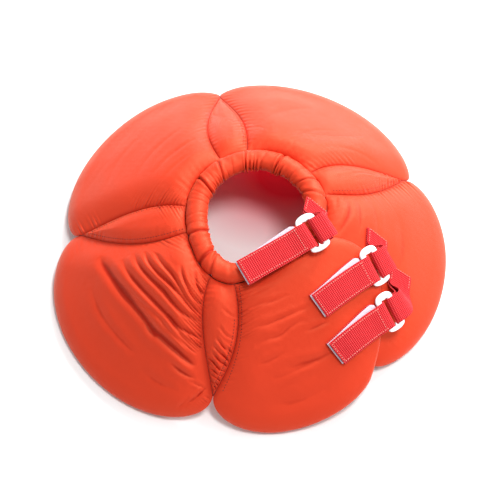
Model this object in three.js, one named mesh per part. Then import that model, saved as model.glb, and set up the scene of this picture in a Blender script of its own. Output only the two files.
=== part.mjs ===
// Soft petal collar for a pet: five padded petals with leaf-shaped gussets between them stand as a low
// cone round a padded neck band, and three hook-and-loop straps pull the last petal over the first
// through plastic rings. Millimetres and degrees, +Z up, the rim lying on the plane Z = 0 and the
// wearer's neck coming out at the top.
import * as THREE from "three";

// Cone
const NECK_HEIGHT = 74; // middle of the padding where the petals meet the neck band
const RIM_HEIGHT = 3.6; // middle of the padding at the rim of a petal
const CONE_BULGE = 1.5; // 1 is a straight cone, more is rounder near the neck
const CONE_FLARE = 1.3; // 1 keeps the slope at the rim, more lays the rim flatter
const CONE_SLOPE = 30; // degrees, where the layers overlap
const NOTCH_RADIUS = 166; // where two petals meet at the rim
const PETAL_REACH = 196; // rim radius of the longest petal
const GUSSET_PITCH = 78.5; // from gusset to gusset
const FIRST_GUSSET = 22.5; // azimuth of the first gusset's tip

// Padding
const PETAL_THICKNESS = 17;
const PETAL_CROWN = 3; // how far the middle of a petal stands above the seams
const GUSSET_THICKNESS = 14;
const SEAM_THICKNESS = 7;
const PLUMP_WIDTH = 32; // from a seam to full thickness
const PLUMP_POWER = 0.8; // less is fuller beside the seams
const RIM_ROUND = 13; // from the rim's edge to full thickness
const ROW_CROWDING = 1.15; // 1 crowds the rows of facets at the rim only, more also at the neck
const RIM_EDGE = 1.2; // what is left of the padding at the rim's own seam
const LOOSE_REACH = 0.3; // how far out the upper layer's loose corner is, from the notch to the full reach
const NECK_PLUMP = 0.7; // share of PLUMP_WIDTH that is left beside the neck band
const LAYER_PRESS = 0.62; // share of the thickness left where one petal lies on the other
const LAYER_GAP = 1.2; // between the two petals that overlap
const LAYER_RAMP = 36; // degrees over which the upper petal climbs onto the lower one
const LAYER_SPARE = 2; // degrees from the end of that climb to the lower one's edge
const PRESS_RAMP = 18; // degrees over which the lower petal is pressed thin
const PIECE_GAP = 0.5; // between pieces that are sewn together
const UNDER_EDGE = 310; // azimuth of the lower petal's hidden edge at the neck

// Gussets
const GUSSET_HALF_WIDTH = 18.5;
const GUSSET_PLUMP = 15; // from a leaf's seam to full thickness
const GUSSET_BLUNT = 0.25; // share of the leaf's shape that the neck band cuts off
const LEAF_TIP = 0.1; // half width left at the point
const LEAF_TIP_SEAM = 0.5; // share of the seam's thickness left there

// Neck band
const BAND_WIDTH = 20;
const BAND_HEIGHT = 17;
const BAND_RISE = 3; // centre of the band above the middle of the petals' padding
const BAND_RADIUS = 57; // of the band's centreline, which BAND_LINE varies
const BAND_START = -36; // hidden end under the upper petal
const BAND_PINCH = 0.07; // depth of the gathers as a share of the section
const BAND_GATHERS = 17; // round the whole neck
const BAND_TAPER = 7; // degrees over which the band's ends close
const BAND_END = 0.35; // share of the section that is left at its ends

// Fasteners
const WEBBING_WIDTH = 25;
const WEBBING_THICKNESS = 1.4;
const WEBBING_GAP = 0.4; // between the webbing and what it lies on
const STRAP_LENGTH = 68; // from the ring to the loose end
const STRAP_TAIL = 3; // how far the sewn layer runs on past the loose end
const STRAP_SKEW = 5; // how far the sewn layer stands aside near the ring
const SKEW_LOST = 0.9; // share of that which is gone at the loose end
const WEBBING_STEPS = 10; // facets along a layer of webbing
const TAPE_WIDTH = 24;
const TAPE_THICKNESS = 1.3;
const TAPE_START = 9; // from the ring's bar to the hook-and-loop tape
const PATCH_LENGTH = 12; // stretch of a tab that is sewn down
const TAB_BEND = 12; // how far a tab keeps the ring's direction before it turns to its patch
const FOLD_STEPS = 6; // facets round a fold
const SMOOTHING = 3; // the webbing rises this far before the padding does
const RING_WIDTH = 19;
const RING_THICKNESS = 3;
const RING_BAR = 6;
const RING_END = 3.2; // thickness of the ring's rounded ends at the corners of the window
const RING_BULGE = 1; // how much thicker they are in the middle
const RING_PLAY = 1; // beside the webbing inside the ring
const RING_BEVEL = 1.2;
const HORN_LENGTH = 3; // the point in the middle of each end of the ring's window
const HORN_HALF_WIDTH = 1;
const FULL_TURN = 360; // degrees
const PETAL_GRID = [20, 20]; // facets across a petal and from its neck to its rim
const GUSSET_GRID = [8, 16];
const BAND_GRID = [84, 10]; // sections round the neck band, and sides to a section
const GROUND_STEPS = 18; // places along a strap at which it feels for the padding

// The leaf gussets, counted from the lower petal. lean turns the neck end away from the tip's azimuth, reach
// is the tip's share of the way to the notch, width the share of GUSSET_HALF_WIDTH, and bow turns the middle
// aside.
const GUSSETS = [
  { name: "gusset_1", lean: 2, reach: 0.95, width: 0.98, bow: -1 },
  { name: "gusset_2", lean: 5, reach: 0.96, width: 1.0, bow: 0 },
  { name: "gusset_3", lean: 9, reach: 0.97, width: 1.0, bow: 0 },
  { name: "gusset_4", lean: -8, reach: 1.0, width: 0.9, bow: 2.5 },
];

// The petals in the same order. reach is the share of PETAL_REACH, and square is 2 for a rim that is drawn
// as an ellipse and more for squarer corners.
const PETALS = [
  { name: "petal_1", reach: 0.97, square: 2.4 },
  { name: "petal_2", reach: 0.94, square: 2.9 },
  { name: "petal_3", reach: 0.96, square: 3.0 },
  { name: "petal_4", reach: 1.03, square: 2.3 },
  { name: "petal_5", reach: 0.985, square: 2.3 },
];

// The neck band's centreline: azimuth, and radius as a share of BAND_RADIUS. The near side is pulled out to
// a corner and then runs straight under the first strap.
const BAND_LINE = [
  { azimuth: -36, radius: 0.96 },
  { azimuth: 6, radius: 1.05 },
  { azimuth: 43, radius: 0.99 },
  { azimuth: 92, radius: 0.91 },
  { azimuth: 143, radius: 0.86 },
  { azimuth: 194, radius: 0.9 },
  { azimuth: 217, radius: 1.0 },
  { azimuth: 235, radius: 1.13 },
  { azimuth: 254, radius: 1.19 },
  { azimuth: 270, radius: 1.05 },
  { azimuth: 286, radius: 0.94 },
  { azimuth: 302, radius: 0.9 },
  { azimuth: 318, radius: 0.92 },
  { azimuth: 338, radius: 1.03 },
];

// The upper petal's loose edge: azimuth at a share of the way from the neck to the rim.
const FREE_LINE = [
  { share: 0, azimuth: 331 },
  { share: 0.2, azimuth: 338 },
  { share: 0.36, azimuth: 339 },
  { share: 0.5, azimuth: 336.5 },
  { share: 0.6, azimuth: 333 },
  { share: 0.71, azimuth: 324.5 },
  { share: 0.85, azimuth: 318 },
  { share: 1, azimuth: 309 },
];

// The fasteners from the neck outwards. share places the ring along the loose edge and inset, a share of
// RING_WIDTH, how far inside it. heading is the way the strap runs back over its petal, and length the share
// of STRAP_LENGTH. The tab's far edge has its middle at patchAzimuth and patchShare on the lower petal and
// lies along patchHeading, and its sewn stretch runs along patchRun.
const FASTENERS = [
  {
    share: 0, inset: 0.3, heading: 208.5, length: 0.95,
    patchAzimuth: -1, patchShare: -0.08, patchHeading: -39, patchRun: -104,
  },
  {
    share: 0.44, inset: 0.5, heading: 218, length: 0.86,
    patchAzimuth: -9.5, patchShare: 0.4, patchHeading: -25, patchRun: -94,
  },
  {
    share: 0.7, inset: 0.15, heading: 219, length: 0.84,
    patchAzimuth: -19, patchShare: 0.64, patchHeading: -21, patchRun: -98,
  },
];

const COLOURS = {
  shell: { color: 0xf4512c, roughness: 0.45 },
  webbing: { color: 0xdf2a33, roughness: 0.85 },
  tape: { color: 0xefe6ee, roughness: 0.95 },
  plastic: { color: 0xfafafc, roughness: 0.3 },
};

const RAD = Math.PI / 180;
const lerp = (a, b, t) => a + (b - a) * t;
const clamp = (x, low, high) => Math.min(high, Math.max(low, x));
const smooth = (x) => clamp(x, 0, 1) ** 2 * (3 - 2 * clamp(x, 0, 1));

const steps = (from, to, count) => Array.from({ length: count + 1 }, (_, i) => lerp(from, to, i / count));

// Value of one column of a table at a position of another, on a smooth curve through the rows.
function alongTable(rows, key, at, column) {
  let i = 0;
  while (i < rows.length - 2 && rows[i + 1][key] < at) i += 1;
  const row = (n) => rows[clamp(n, 0, rows.length - 1)];
  const [a, b] = [row(i), row(i + 1)];
  const span = b[key] - a[key];
  const slope = (p, q) => (q[key] === p[key] ? 0 : (q[column] - p[column]) / (q[key] - p[key]));
  const slopeA = slope(row(i - 1), b) * span;
  const slopeB = slope(a, row(i + 2)) * span;
  const t = clamp((at - a[key]) / span, 0, 1);
  const t2 = t * t;
  const t3 = t2 * t;
  return (
    (2 * t3 - 3 * t2 + 1) * a[column] + (t3 - 2 * t2 + t) * slopeA +
    (3 * t2 - 2 * t3) * b[column] + (t3 - t2) * slopeB
  );
}

// Where things are around the collar. Azimuths run on past 360, from the hidden end to the loose edge.
const gussetAzimuth = (i) => FIRST_GUSSET + i * GUSSET_PITCH;
const petalCentre = (i) => FIRST_GUSSET + (i - 0.5) * GUSSET_PITCH;
const bandRadius = (azimuth) => BAND_RADIUS * alongTable(BAND_LINE, "azimuth", azimuth, "radius");
const neckEdge = (azimuth) => bandRadius(azimuth) + BAND_WIDTH / 2 + PIECE_GAP;
const freeEdge = (share) => alongTable(FREE_LINE, "share", share, "azimuth");

// How far the lower layer carries the upper one, and how thin both are pressed there.
const LAYER_LIFT = (PETAL_THICKNESS * LAYER_PRESS) / Math.cos(CONE_SLOPE * RAD) + LAYER_GAP;
const layerShare = (azimuth) => smooth((azimuth - UNDER_EDGE + LAYER_SPARE) / LAYER_RAMP + 1);
const underShare = (azimuth, share) => smooth((freeEdge(share) - FULL_TURN - azimuth) / PRESS_RAMP + 1);
function pressAt(azimuth, share) {
  return lerp(1, LAYER_PRESS, Math.max(layerShare(azimuth), underShare(azimuth, share)));
}

// Rim radius that the cone is drawn to, blended from petal to petal.
function coneRadius(azimuth) {
  const place = clamp((azimuth - petalCentre(0)) / GUSSET_PITCH, 0, PETALS.length - 1);
  const i = Math.min(PETALS.length - 2, Math.floor(place));
  return PETAL_REACH * lerp(PETALS[i].reach, PETALS[i + 1].reach, smooth(place - i));
}

// Height of the middle of the padding over a point of the plan.
function coneHeight(azimuth, radius) {
  const inner = neckEdge(azimuth);
  const share = clamp((radius - inner) / (coneRadius(azimuth) - inner), 0, 1);
  const cone = lerp(RIM_HEIGHT, NECK_HEIGHT, (1 - share ** CONE_BULGE) ** CONE_FLARE);
  return cone + LAYER_LIFT * layerShare(azimuth);
}

// 0 at a seam, 1 once the padding is full.
const plump = (distance, width) => Math.sin((Math.PI / 2) * clamp(distance / width, 0, 1)) ** PLUMP_POWER;
const roundEdge = (distance) => Math.sqrt(1 - (1 - clamp(distance / RIM_ROUND, 0, 1)) ** 2);

// Leaf gusset number i: its half width and its middle, for a share of the way from the neck to the notch.
function leafHalfWidth(i, share) {
  const inLeaf = clamp(share / GUSSETS[i].reach, 0, 1);
  return GUSSET_HALF_WIDTH * GUSSETS[i].width * Math.sin(Math.PI * lerp(GUSSET_BLUNT, 1, inLeaf));
}
function leafAzimuth(i, share) {
  return gussetAzimuth(i) + GUSSETS[i].lean * (1 - share) + GUSSETS[i].bow * Math.sin(Math.PI * share);
}
const leafRadius = (azimuth, share) => lerp(neckEdge(azimuth), NOTCH_RADIUS, share);

// The azimuth of a gusset's edge with a gap outside it. side is 1 for the edge of higher azimuth.
function leafEdge(i, share, side, gap) {
  const middle = leafAzimuth(i, share);
  const radius = leafRadius(middle, share);
  return middle + (side * (leafHalfWidth(i, share) + gap)) / (radius * RAD);
}

// Petal number i as functions of u, across from its first edge to its last, and v, from the neck to the rim.
function makePetal(i) {
  const first = i === 0;
  const last = i === PETALS.length - 1;
  const reach = PETAL_REACH * PETALS[i].reach;
  const endRadius = last ? lerp(NOTCH_RADIUS, reach, LOOSE_REACH) : NOTCH_RADIUS;
  const start = (v) => (first ? UNDER_EDGE - FULL_TURN : leafEdge(i - 1, v, 1, PIECE_GAP / 2));
  const end = (v) => (last ? freeEdge(v) : leafEdge(i, v, -1, PIECE_GAP / 2));
  const rim = (u) => {
    const corners = lerp(NOTCH_RADIUS, endRadius, u);
    return lerp(corners, reach, Math.sqrt(1 - Math.abs(2 * u - 1) ** PETALS[i].square));
  };
  // Where a point is, and how full the padding is there: sides from the seams, edge from the loose edges.
  const place = (u, v) => {
    const azimuth = lerp(start(v), end(v), u);
    const inner = neckEdge(azimuth);
    const radius = lerp(inner, rim(u), v);
    const fromStart = (azimuth - start(v)) * radius * RAD;
    const fromEnd = (end(v) - azimuth) * radius * RAD;
    const sides =
      (first ? 1 : plump(fromStart, PLUMP_WIDTH)) * (last ? 1 : plump(fromEnd, PLUMP_WIDTH)) *
      plump(radius - inner, PLUMP_WIDTH * NECK_PLUMP);
    const loose = (first ? roundEdge(fromStart) : 1) * (last ? roundEdge(fromEnd) : 1);
    const edge = roundEdge(rim(u) - radius) * loose;
    const press = pressAt(azimuth, v);
    const thickness = Math.max(RIM_EDGE, lerp(SEAM_THICKNESS, PETAL_THICKNESS, sides) * press * edge);
    const crown = PETAL_CROWN * sides * press * smooth((rim(u) - radius) / (3 * RIM_ROUND));
    const middle = coneHeight(azimuth, radius) + crown;
    return { azimuth, radius, middle, half: thickness / 2 };
  };
  const top = (u, v) => {
    const at = place(u, v);
    return { ...at, z: Math.max(RIM_EDGE, at.middle + at.half) };
  };
  const bottom = (u, v) => {
    const at = place(u, v);
    return { ...at, z: Math.max(0, at.middle - at.half) };
  };
  // The height of the top over a point of the plan, or nothing where the petal isn't.
  const topOver = (azimuth, radius) => {
    let [u, v] = [0.5, 0.5];
    for (let n = 0; n < 12; n += 1) {
      u = clamp((azimuth - start(v)) / (end(v) - start(v)), -0.01, 1.01);
      v = clamp((radius - neckEdge(azimuth)) / (rim(clamp(u, 0, 1)) - neckEdge(azimuth)), -0.01, 1.01);
    }
    return u < 0 || u > 1 || v < 0 || v > 1 ? 0 : top(u, v).z;
  };
  return { top, bottom, topOver };
}

// A leaf gusset as functions of u, across it, and v, from the neck to its tip.
function makeGusset(i) {
  const place = (u, v) => {
    const across = 2 * u - 1;
    const share = v * GUSSETS[i].reach;
    const middle = leafAzimuth(i, share);
    const halfWidth = Math.max(leafHalfWidth(i, share) - PIECE_GAP / 2, LEAF_TIP);
    const azimuth = middle + (across * halfWidth) / (leafRadius(middle, share) * RAD);
    const radius = leafRadius(azimuth, share);
    const sides = plump((1 - Math.abs(across)) * halfWidth, GUSSET_PLUMP);
    const ends = plump(radius - neckEdge(azimuth), PLUMP_WIDTH * NECK_PLUMP);
    const seam = SEAM_THICKNESS * lerp(LEAF_TIP_SEAM, 1, clamp(halfWidth / SEAM_THICKNESS, 0, 1));
    const half = lerp(seam, GUSSET_THICKNESS, sides * ends) / 2;
    return { azimuth, radius, middle: coneHeight(azimuth, radius), half };
  };
  const top = (u, v) => {
    const at = place(u, v);
    return { ...at, z: at.middle + at.half };
  };
  const bottom = (u, v) => {
    const at = place(u, v);
    return { ...at, z: Math.max(0, at.middle - at.half) };
  };
  return { top, bottom };
}

const toPoint = ({ azimuth, radius, z }) =>
  new THREE.Vector3(radius * Math.cos(azimuth * RAD), radius * Math.sin(azimuth * RAD), z);

// Collects points and faces, and gives a closed geometry.
class Shell {
  constructor() {
    this.points = [];
    this.faces = [];
  }
  add(point) {
    return this.points.push(point.x, point.y, point.z) / 3 - 1;
  }
  face(a, b, c) {
    this.faces.push(a, b, c);
  }
  quad(a, b, c, d) {
    this.face(a, b, c);
    this.face(a, c, d);
  }
  geometry() {
    const made = new THREE.BufferGeometry();
    made.setAttribute("position", new THREE.Float32BufferAttribute(this.points, 3));
    made.setIndex(this.faces);
    made.computeVertexNormals();
    return made;
  }
}

// A pad between a fine top and a bottom with half as many columns and rows, joined by a wall round its edge.
function padGeometry(pad, columns, rows) {
  const shell = new Shell();
  const spread = (v) => Math.sin((Math.PI / 2) * v) ** ROW_CROWDING;
  const grid = (surface, nu, nv) => {
    const ids = [];
    for (let j = 0; j <= nv; j += 1)
      for (let i = 0; i <= nu; i += 1) ids.push(shell.add(toPoint(surface(i / nu, spread(j / nv)))));
    return (i, j) => ids[j * (nu + 1) + i];
  };
  const [halfColumns, halfRows] = [columns / 2, rows / 2];
  const top = grid(pad.top, columns, rows);
  const bottom = grid(pad.bottom, halfColumns, halfRows);
  for (let j = 0; j < rows; j += 1)
    for (let i = 0; i < columns; i += 1)
      shell.quad(top(i, j), top(i, j + 1), top(i + 1, j + 1), top(i + 1, j));
  for (let j = 0; j < halfRows; j += 1)
    for (let i = 0; i < halfColumns; i += 1)
      shell.quad(bottom(i, j), bottom(i + 1, j), bottom(i + 1, j + 1), bottom(i, j + 1));
  // The edge, walked once round; each coarse step of the bottom meets two of the top.
  const edge = [];
  for (let i = 0; i < halfColumns; i += 1) edge.push([i, 0, i + 1, 0]);
  for (let j = 0; j < halfRows; j += 1) edge.push([halfColumns, j, halfColumns, j + 1]);
  for (let i = halfColumns; i > 0; i -= 1) edge.push([i, halfRows, i - 1, halfRows]);
  for (let j = halfRows; j > 0; j -= 1) edge.push([0, j, 0, j - 1]);
  for (const [i0, j0, i1, j1] of edge) {
    const [low0, low1] = [bottom(i0, j0), bottom(i1, j1)];
    const [high0, high1, high2] = [top(2 * i0, 2 * j0), top(i0 + i1, j0 + j1), top(2 * i1, 2 * j1)];
    shell.face(low0, high0, high1);
    shell.face(low0, high1, low1);
    shell.face(low1, high1, high2);
  }
  return shell.geometry();
}

// A closed bar of rectangular section through a list of frames, each with a centre, a half width and a half
// depth.
function barGeometry(frames) {
  const shell = new Shell();
  const rings = frames.map(({ centre, side, up }) =>
    [[-1, -1], [1, -1], [1, 1], [-1, 1]].map(([s, n]) =>
      shell.add(centre.clone().addScaledVector(side, s).addScaledVector(up, n))));
  for (let i = 0; i < rings.length - 1; i += 1)
    for (let k = 0; k < 4; k += 1) {
      const next = (k + 1) % 4;
      shell.quad(rings[i][k], rings[i + 1][k], rings[i + 1][next], rings[i][next]);
    }
  shell.quad(...rings[0]);
  shell.quad(...rings[rings.length - 1].slice().reverse());
  return shell.geometry();
}

// The neck band: a padded tube, pinched by its gathers, flat where its ends overlap and narrow at both ends.
function bandSection(azimuth) {
  const press = pressAt(azimuth, 0);
  const fromEnd = clamp(Math.min(azimuth - BAND_START, freeEdge(0) - azimuth) / BAND_TAPER, 0, 1);
  const fullness = lerp(BAND_END, 1, Math.sqrt(1 - (1 - fromEnd) ** 2));
  const gather = 1 - BAND_PINCH * (0.5 + 0.5 * Math.cos(azimuth * RAD * BAND_GATHERS));
  return {
    azimuth,
    radius: bandRadius(azimuth),
    z: NECK_HEIGHT + BAND_RISE + LAYER_LIFT * layerShare(azimuth),
    halfWidth: (BAND_WIDTH / 2) * fullness * gather,
    halfHeight: (BAND_HEIGHT / 2) * press * fullness * gather,
  };
}

function bandGeometry(count, sides) {
  const shell = new Shell();
  const rings = [];
  for (let i = 0; i <= count; i += 1) {
    const at = bandSection(lerp(BAND_START, freeEdge(0), i / count));
    const ring = [];
    for (let k = 0; k < sides; k += 1) {
      const turn = (2 * Math.PI * k) / sides;
      const radius = at.radius + at.halfWidth * Math.cos(turn);
      ring.push(shell.add(toPoint({ ...at, radius, z: at.z + at.halfHeight * Math.sin(turn) })));
    }
    rings.push(ring);
  }
  const startCentre = shell.add(toPoint(bandSection(BAND_START)));
  const endCentre = shell.add(toPoint(bandSection(freeEdge(0))));
  for (let k = 0; k < sides; k += 1) {
    const next = (k + 1) % sides;
    for (let i = 0; i < count; i += 1)
      shell.quad(rings[i][k], rings[i + 1][k], rings[i + 1][next], rings[i][next]);
    shell.face(startCentre, rings[0][k], rings[0][next]);
    shell.face(endCentre, rings[count][next], rings[count][k]);
  }
  return shell.geometry();
}

const petals = PETALS.map((_, i) => makePetal(i));
const lowerPetal = petals[0];
const upperPetal = petals[petals.length - 1];

// The height of the band's top over a point of the plan, or 0 where it isn't.
function bandOver(azimuth, radius) {
  if (azimuth < BAND_START || azimuth > freeEdge(0)) return 0;
  const at = bandSection(azimuth);
  const off = (radius - at.radius) / at.halfWidth;
  return Math.abs(off) > 1 ? 0 : at.z + at.halfHeight * Math.sqrt(1 - off * off);
}

// The highest padding over a point of the plan, which the webbing lies on.
function groundHeight(x, y) {
  const radius = Math.hypot(x, y);
  const azimuth = Math.atan2(y, x) / RAD;
  const around = azimuth + (azimuth < 0 ? FULL_TURN : 0);
  return Math.max(
    lowerPetal.topOver(azimuth, radius),
    upperPetal.topOver(around, radius),
    bandOver(azimuth, radius),
    bandOver(around, radius),
  );
}

const headingVector = (degrees) => new THREE.Vector3(Math.cos(degrees * RAD), Math.sin(degrees * RAD), 0);
const polar = (azimuth, radius) => toPoint({ azimuth, radius, z: 0 });

// A right-handed frame from a way to go and the width's direction: side, along, up.
function frameOf(centre, along, side) {
  const up = side.clone().cross(along).normalize();
  return { centre, up, along: along.clone().normalize(), side: along.clone().cross(up).normalize() };
}

// The same, where the width isn't square to the way to go.
function skewFrame(centre, along, side) {
  const up = side.clone().cross(along).normalize();
  return { centre, up, along: along.clone().normalize(), side: side.clone().normalize() };
}

// A place beside a frame's centre and above it.
const off = ({ centre, side, up }, w, n) => centre.clone().addScaledVector(side, w).addScaledVector(up, n);

// A gently curved sheet that a strap lies on: it rests on the padding's highest points under it. The frame
// is at distance s from the ring's bar, and runs towards the ring.
function strapSheet(bar, heading, length) {
  const back = headingVector(heading);
  const across = headingVector(heading + 90);
  const plan = (s, w) => bar.clone().addScaledVector(back, s).addScaledVector(across, w);
  const over = (s, w) => groundHeight(plan(s, w).x, plan(s, w).y);
  const half = WEBBING_WIDTH / 2;
  const widths = steps(-half, half, 8);
  const highest = (s) => Math.max(...widths.map((w) => over(s, w)));
  const [near, middle, far] = [0, length / 2, length].map(highest);
  const [left, right] = [over(length / 2, -half), over(length / 2, half)];
  const roll = left && right ? (right - left) / WEBBING_WIDTH : 0;
  const curve = (s) => {
    const t = s / length;
    return near + (4 * middle - 3 * near - far) * t + (2 * far + 2 * near - 4 * middle) * t * t;
  };
  let rise = -NECK_HEIGHT;
  for (const s of steps(-RING_WIDTH / 2, length, GROUND_STEPS))
    for (const w of widths) if (over(s, w)) rise = Math.max(rise, over(s, w) - curve(s) - roll * w);
  const point = (s, w) => plan(s, w).setZ(curve(s) + roll * w + rise + WEBBING_GAP);
  return (s) => frameOf(point(s, 0), point(s - 1, 0).sub(point(s + 1, 0)), point(s, 1).sub(point(s, -1)));
}

// Half the webbing's way round a ring's bar, across the ring and above it.
const FOLD_REACH = RING_BAR / 2 + 2 * WEBBING_GAP + WEBBING_THICKNESS / 2;
const FOLD_HEIGHT = RING_THICKNESS / 2 + WEBBING_GAP + WEBBING_THICKNESS / 2;

// A closed band of webbing that runs along a rail to a bar, folds over it and comes back. rail(s) is the
// frame at a distance from the bar, with its centre in the bar's own plane. gap(s, layer) is how far above
// it the layer that is folded back, 1, or the other one, -1, is, and shift(s, layer) how far it stands aside.
function foldedWebbing({ rail, gap, shift, lower, upper }) {
  const frames = [];
  const add = (s, w, n, turn, frame) => {
    const flat = frame.along.clone().multiplyScalar(Math.cos(turn));
    const along = flat.addScaledVector(frame.up, Math.sin(turn));
    const up = along.clone().cross(frame.side).negate().normalize();
    frames.push({
      centre: off(frame, w, n).addScaledVector(frame.along, s),
      side: frame.side.clone().multiplyScalar(WEBBING_WIDTH / 2),
      up: up.multiplyScalar(WEBBING_THICKNESS / 2),
    });
  };
  for (const s of lower.slice().reverse()) add(0, shift(s, -1), gap(s, -1), 0, rail(s));
  for (let k = 0; k <= FOLD_STEPS; k += 1) {
    const turn = (Math.PI * k) / FOLD_STEPS;
    const side = shift(0, -Math.cos(turn));
    add(FOLD_REACH * Math.sin(turn), side, -FOLD_HEIGHT * Math.cos(turn), turn, rail(0));
  }
  for (const s of upper) add(0, shift(s, 1), gap(s, 1), Math.PI, rail(s));
  return barGeometry(frames);
}

// A strap with its hook-and-loop tape and its ring. The lower layer is sewn to the petal, the upper one is
// loose.
function makeStrap(row) {
  const inner = neckEdge(freeEdge(row.share));
  const rimRadius = PETAL_REACH * PETALS[PETALS.length - 1].reach;
  const edge = polar(freeEdge(row.share), lerp(inner, rimRadius, row.share));
  const inwards = headingVector(freeEdge(row.share) - 90);
  const barOffset = (RING_WIDTH - RING_BAR) / 2;
  const centre = edge.clone().addScaledVector(inwards, row.inset * RING_WIDTH);
  const bar = centre.clone().addScaledVector(headingVector(row.heading), barOffset);
  const length = STRAP_LENGTH * row.length;
  const sheet = strapSheet(bar, row.heading, length + STRAP_TAIL);
  const low = WEBBING_THICKNESS / 2;
  const rail = (s) => {
    const frame = sheet(s);
    return { ...frame, centre: off(frame, 0, low + FOLD_HEIGHT) };
  };
  const closed = WEBBING_THICKNESS + TAPE_THICKNESS + 2 * WEBBING_GAP;
  const open = 2 * FOLD_HEIGHT;
  const lift = (s) => lerp(open, closed, smooth(s / (2 * TAPE_START)));
  const gap = (s, layer) => (layer < 0 ? -FOLD_HEIGHT : lift(s) - FOLD_HEIGHT);
  const aside = (s) => -STRAP_SKEW * smooth(s / TAPE_START) * (1 - SKEW_LOST * smooth(s / length));
  const shift = (s, layer) => (layer < 0 ? aside(s) : 0);
  const strap = foldedWebbing({
    rail,
    gap,
    shift,
    lower: steps(length / WEBBING_STEPS, length + STRAP_TAIL, WEBBING_STEPS),
    upper: steps(length / WEBBING_STEPS, length, WEBBING_STEPS),
  });
  const tapeHeight = low + WEBBING_GAP + TAPE_THICKNESS / 2 - FOLD_HEIGHT;
  const tape = barGeometry(
    steps(length + STRAP_TAIL - WEBBING_GAP, TAPE_START, WEBBING_STEPS).map((s) => {
      const frame = rail(s);
      return {
        centre: off(frame, aside(s), tapeHeight),
        side: frame.side.clone().multiplyScalar(TAPE_WIDTH / 2),
        up: frame.up.clone().multiplyScalar(TAPE_THICKNESS / 2),
      };
    }),
  );
  const atBar = rail(0);
  const ringFrame = { ...atBar, centre: atBar.centre.clone().addScaledVector(atBar.along, barOffset) };
  return { strap, tape, ringFrame, barOffset };
}

// The ring: two bars for the webbing, joined by rounded ends with a point inside each.
function ringGeometry() {
  const windowHalf = WEBBING_WIDTH / 2 + RING_PLAY;
  const [halfWidth, halfLength] = [RING_WIDTH / 2, windowHalf + RING_END];
  const tip = halfLength + RING_BULGE;
  const inner = halfWidth - RING_BAR;
  const outline = new THREE.Shape();
  outline.moveTo(-halfWidth, -windowHalf);
  outline.bezierCurveTo(-halfWidth, -halfLength, -inner, -tip, 0, -tip);
  outline.bezierCurveTo(inner, -tip, halfWidth, -halfLength, halfWidth, -windowHalf);
  outline.lineTo(halfWidth, windowHalf);
  outline.bezierCurveTo(halfWidth, halfLength, inner, tip, 0, tip);
  outline.bezierCurveTo(-inner, tip, -halfWidth, halfLength, -halfWidth, windowHalf);
  const opening = new THREE.Path();
  opening.moveTo(-inner, -windowHalf);
  opening.lineTo(-inner, windowHalf);
  opening.lineTo(-HORN_HALF_WIDTH, windowHalf);
  opening.lineTo(0, windowHalf - HORN_LENGTH);
  opening.lineTo(HORN_HALF_WIDTH, windowHalf);
  opening.lineTo(inner, windowHalf);
  opening.lineTo(inner, -windowHalf);
  opening.lineTo(HORN_HALF_WIDTH, -windowHalf);
  opening.lineTo(0, -windowHalf + HORN_LENGTH);
  opening.lineTo(-HORN_HALF_WIDTH, -windowHalf);
  outline.holes.push(opening);
  const made = new THREE.ExtrudeGeometry(outline, {
    depth: RING_THICKNESS - 2 * RING_BEVEL,
    bevelThickness: RING_BEVEL,
    bevelSize: RING_BEVEL,
    bevelOffset: -RING_BEVEL,
    bevelSegments: 2,
    curveSegments: 6,
  });
  return made.translate(0, 0, RING_BEVEL - RING_THICKNESS / 2);
}

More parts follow.
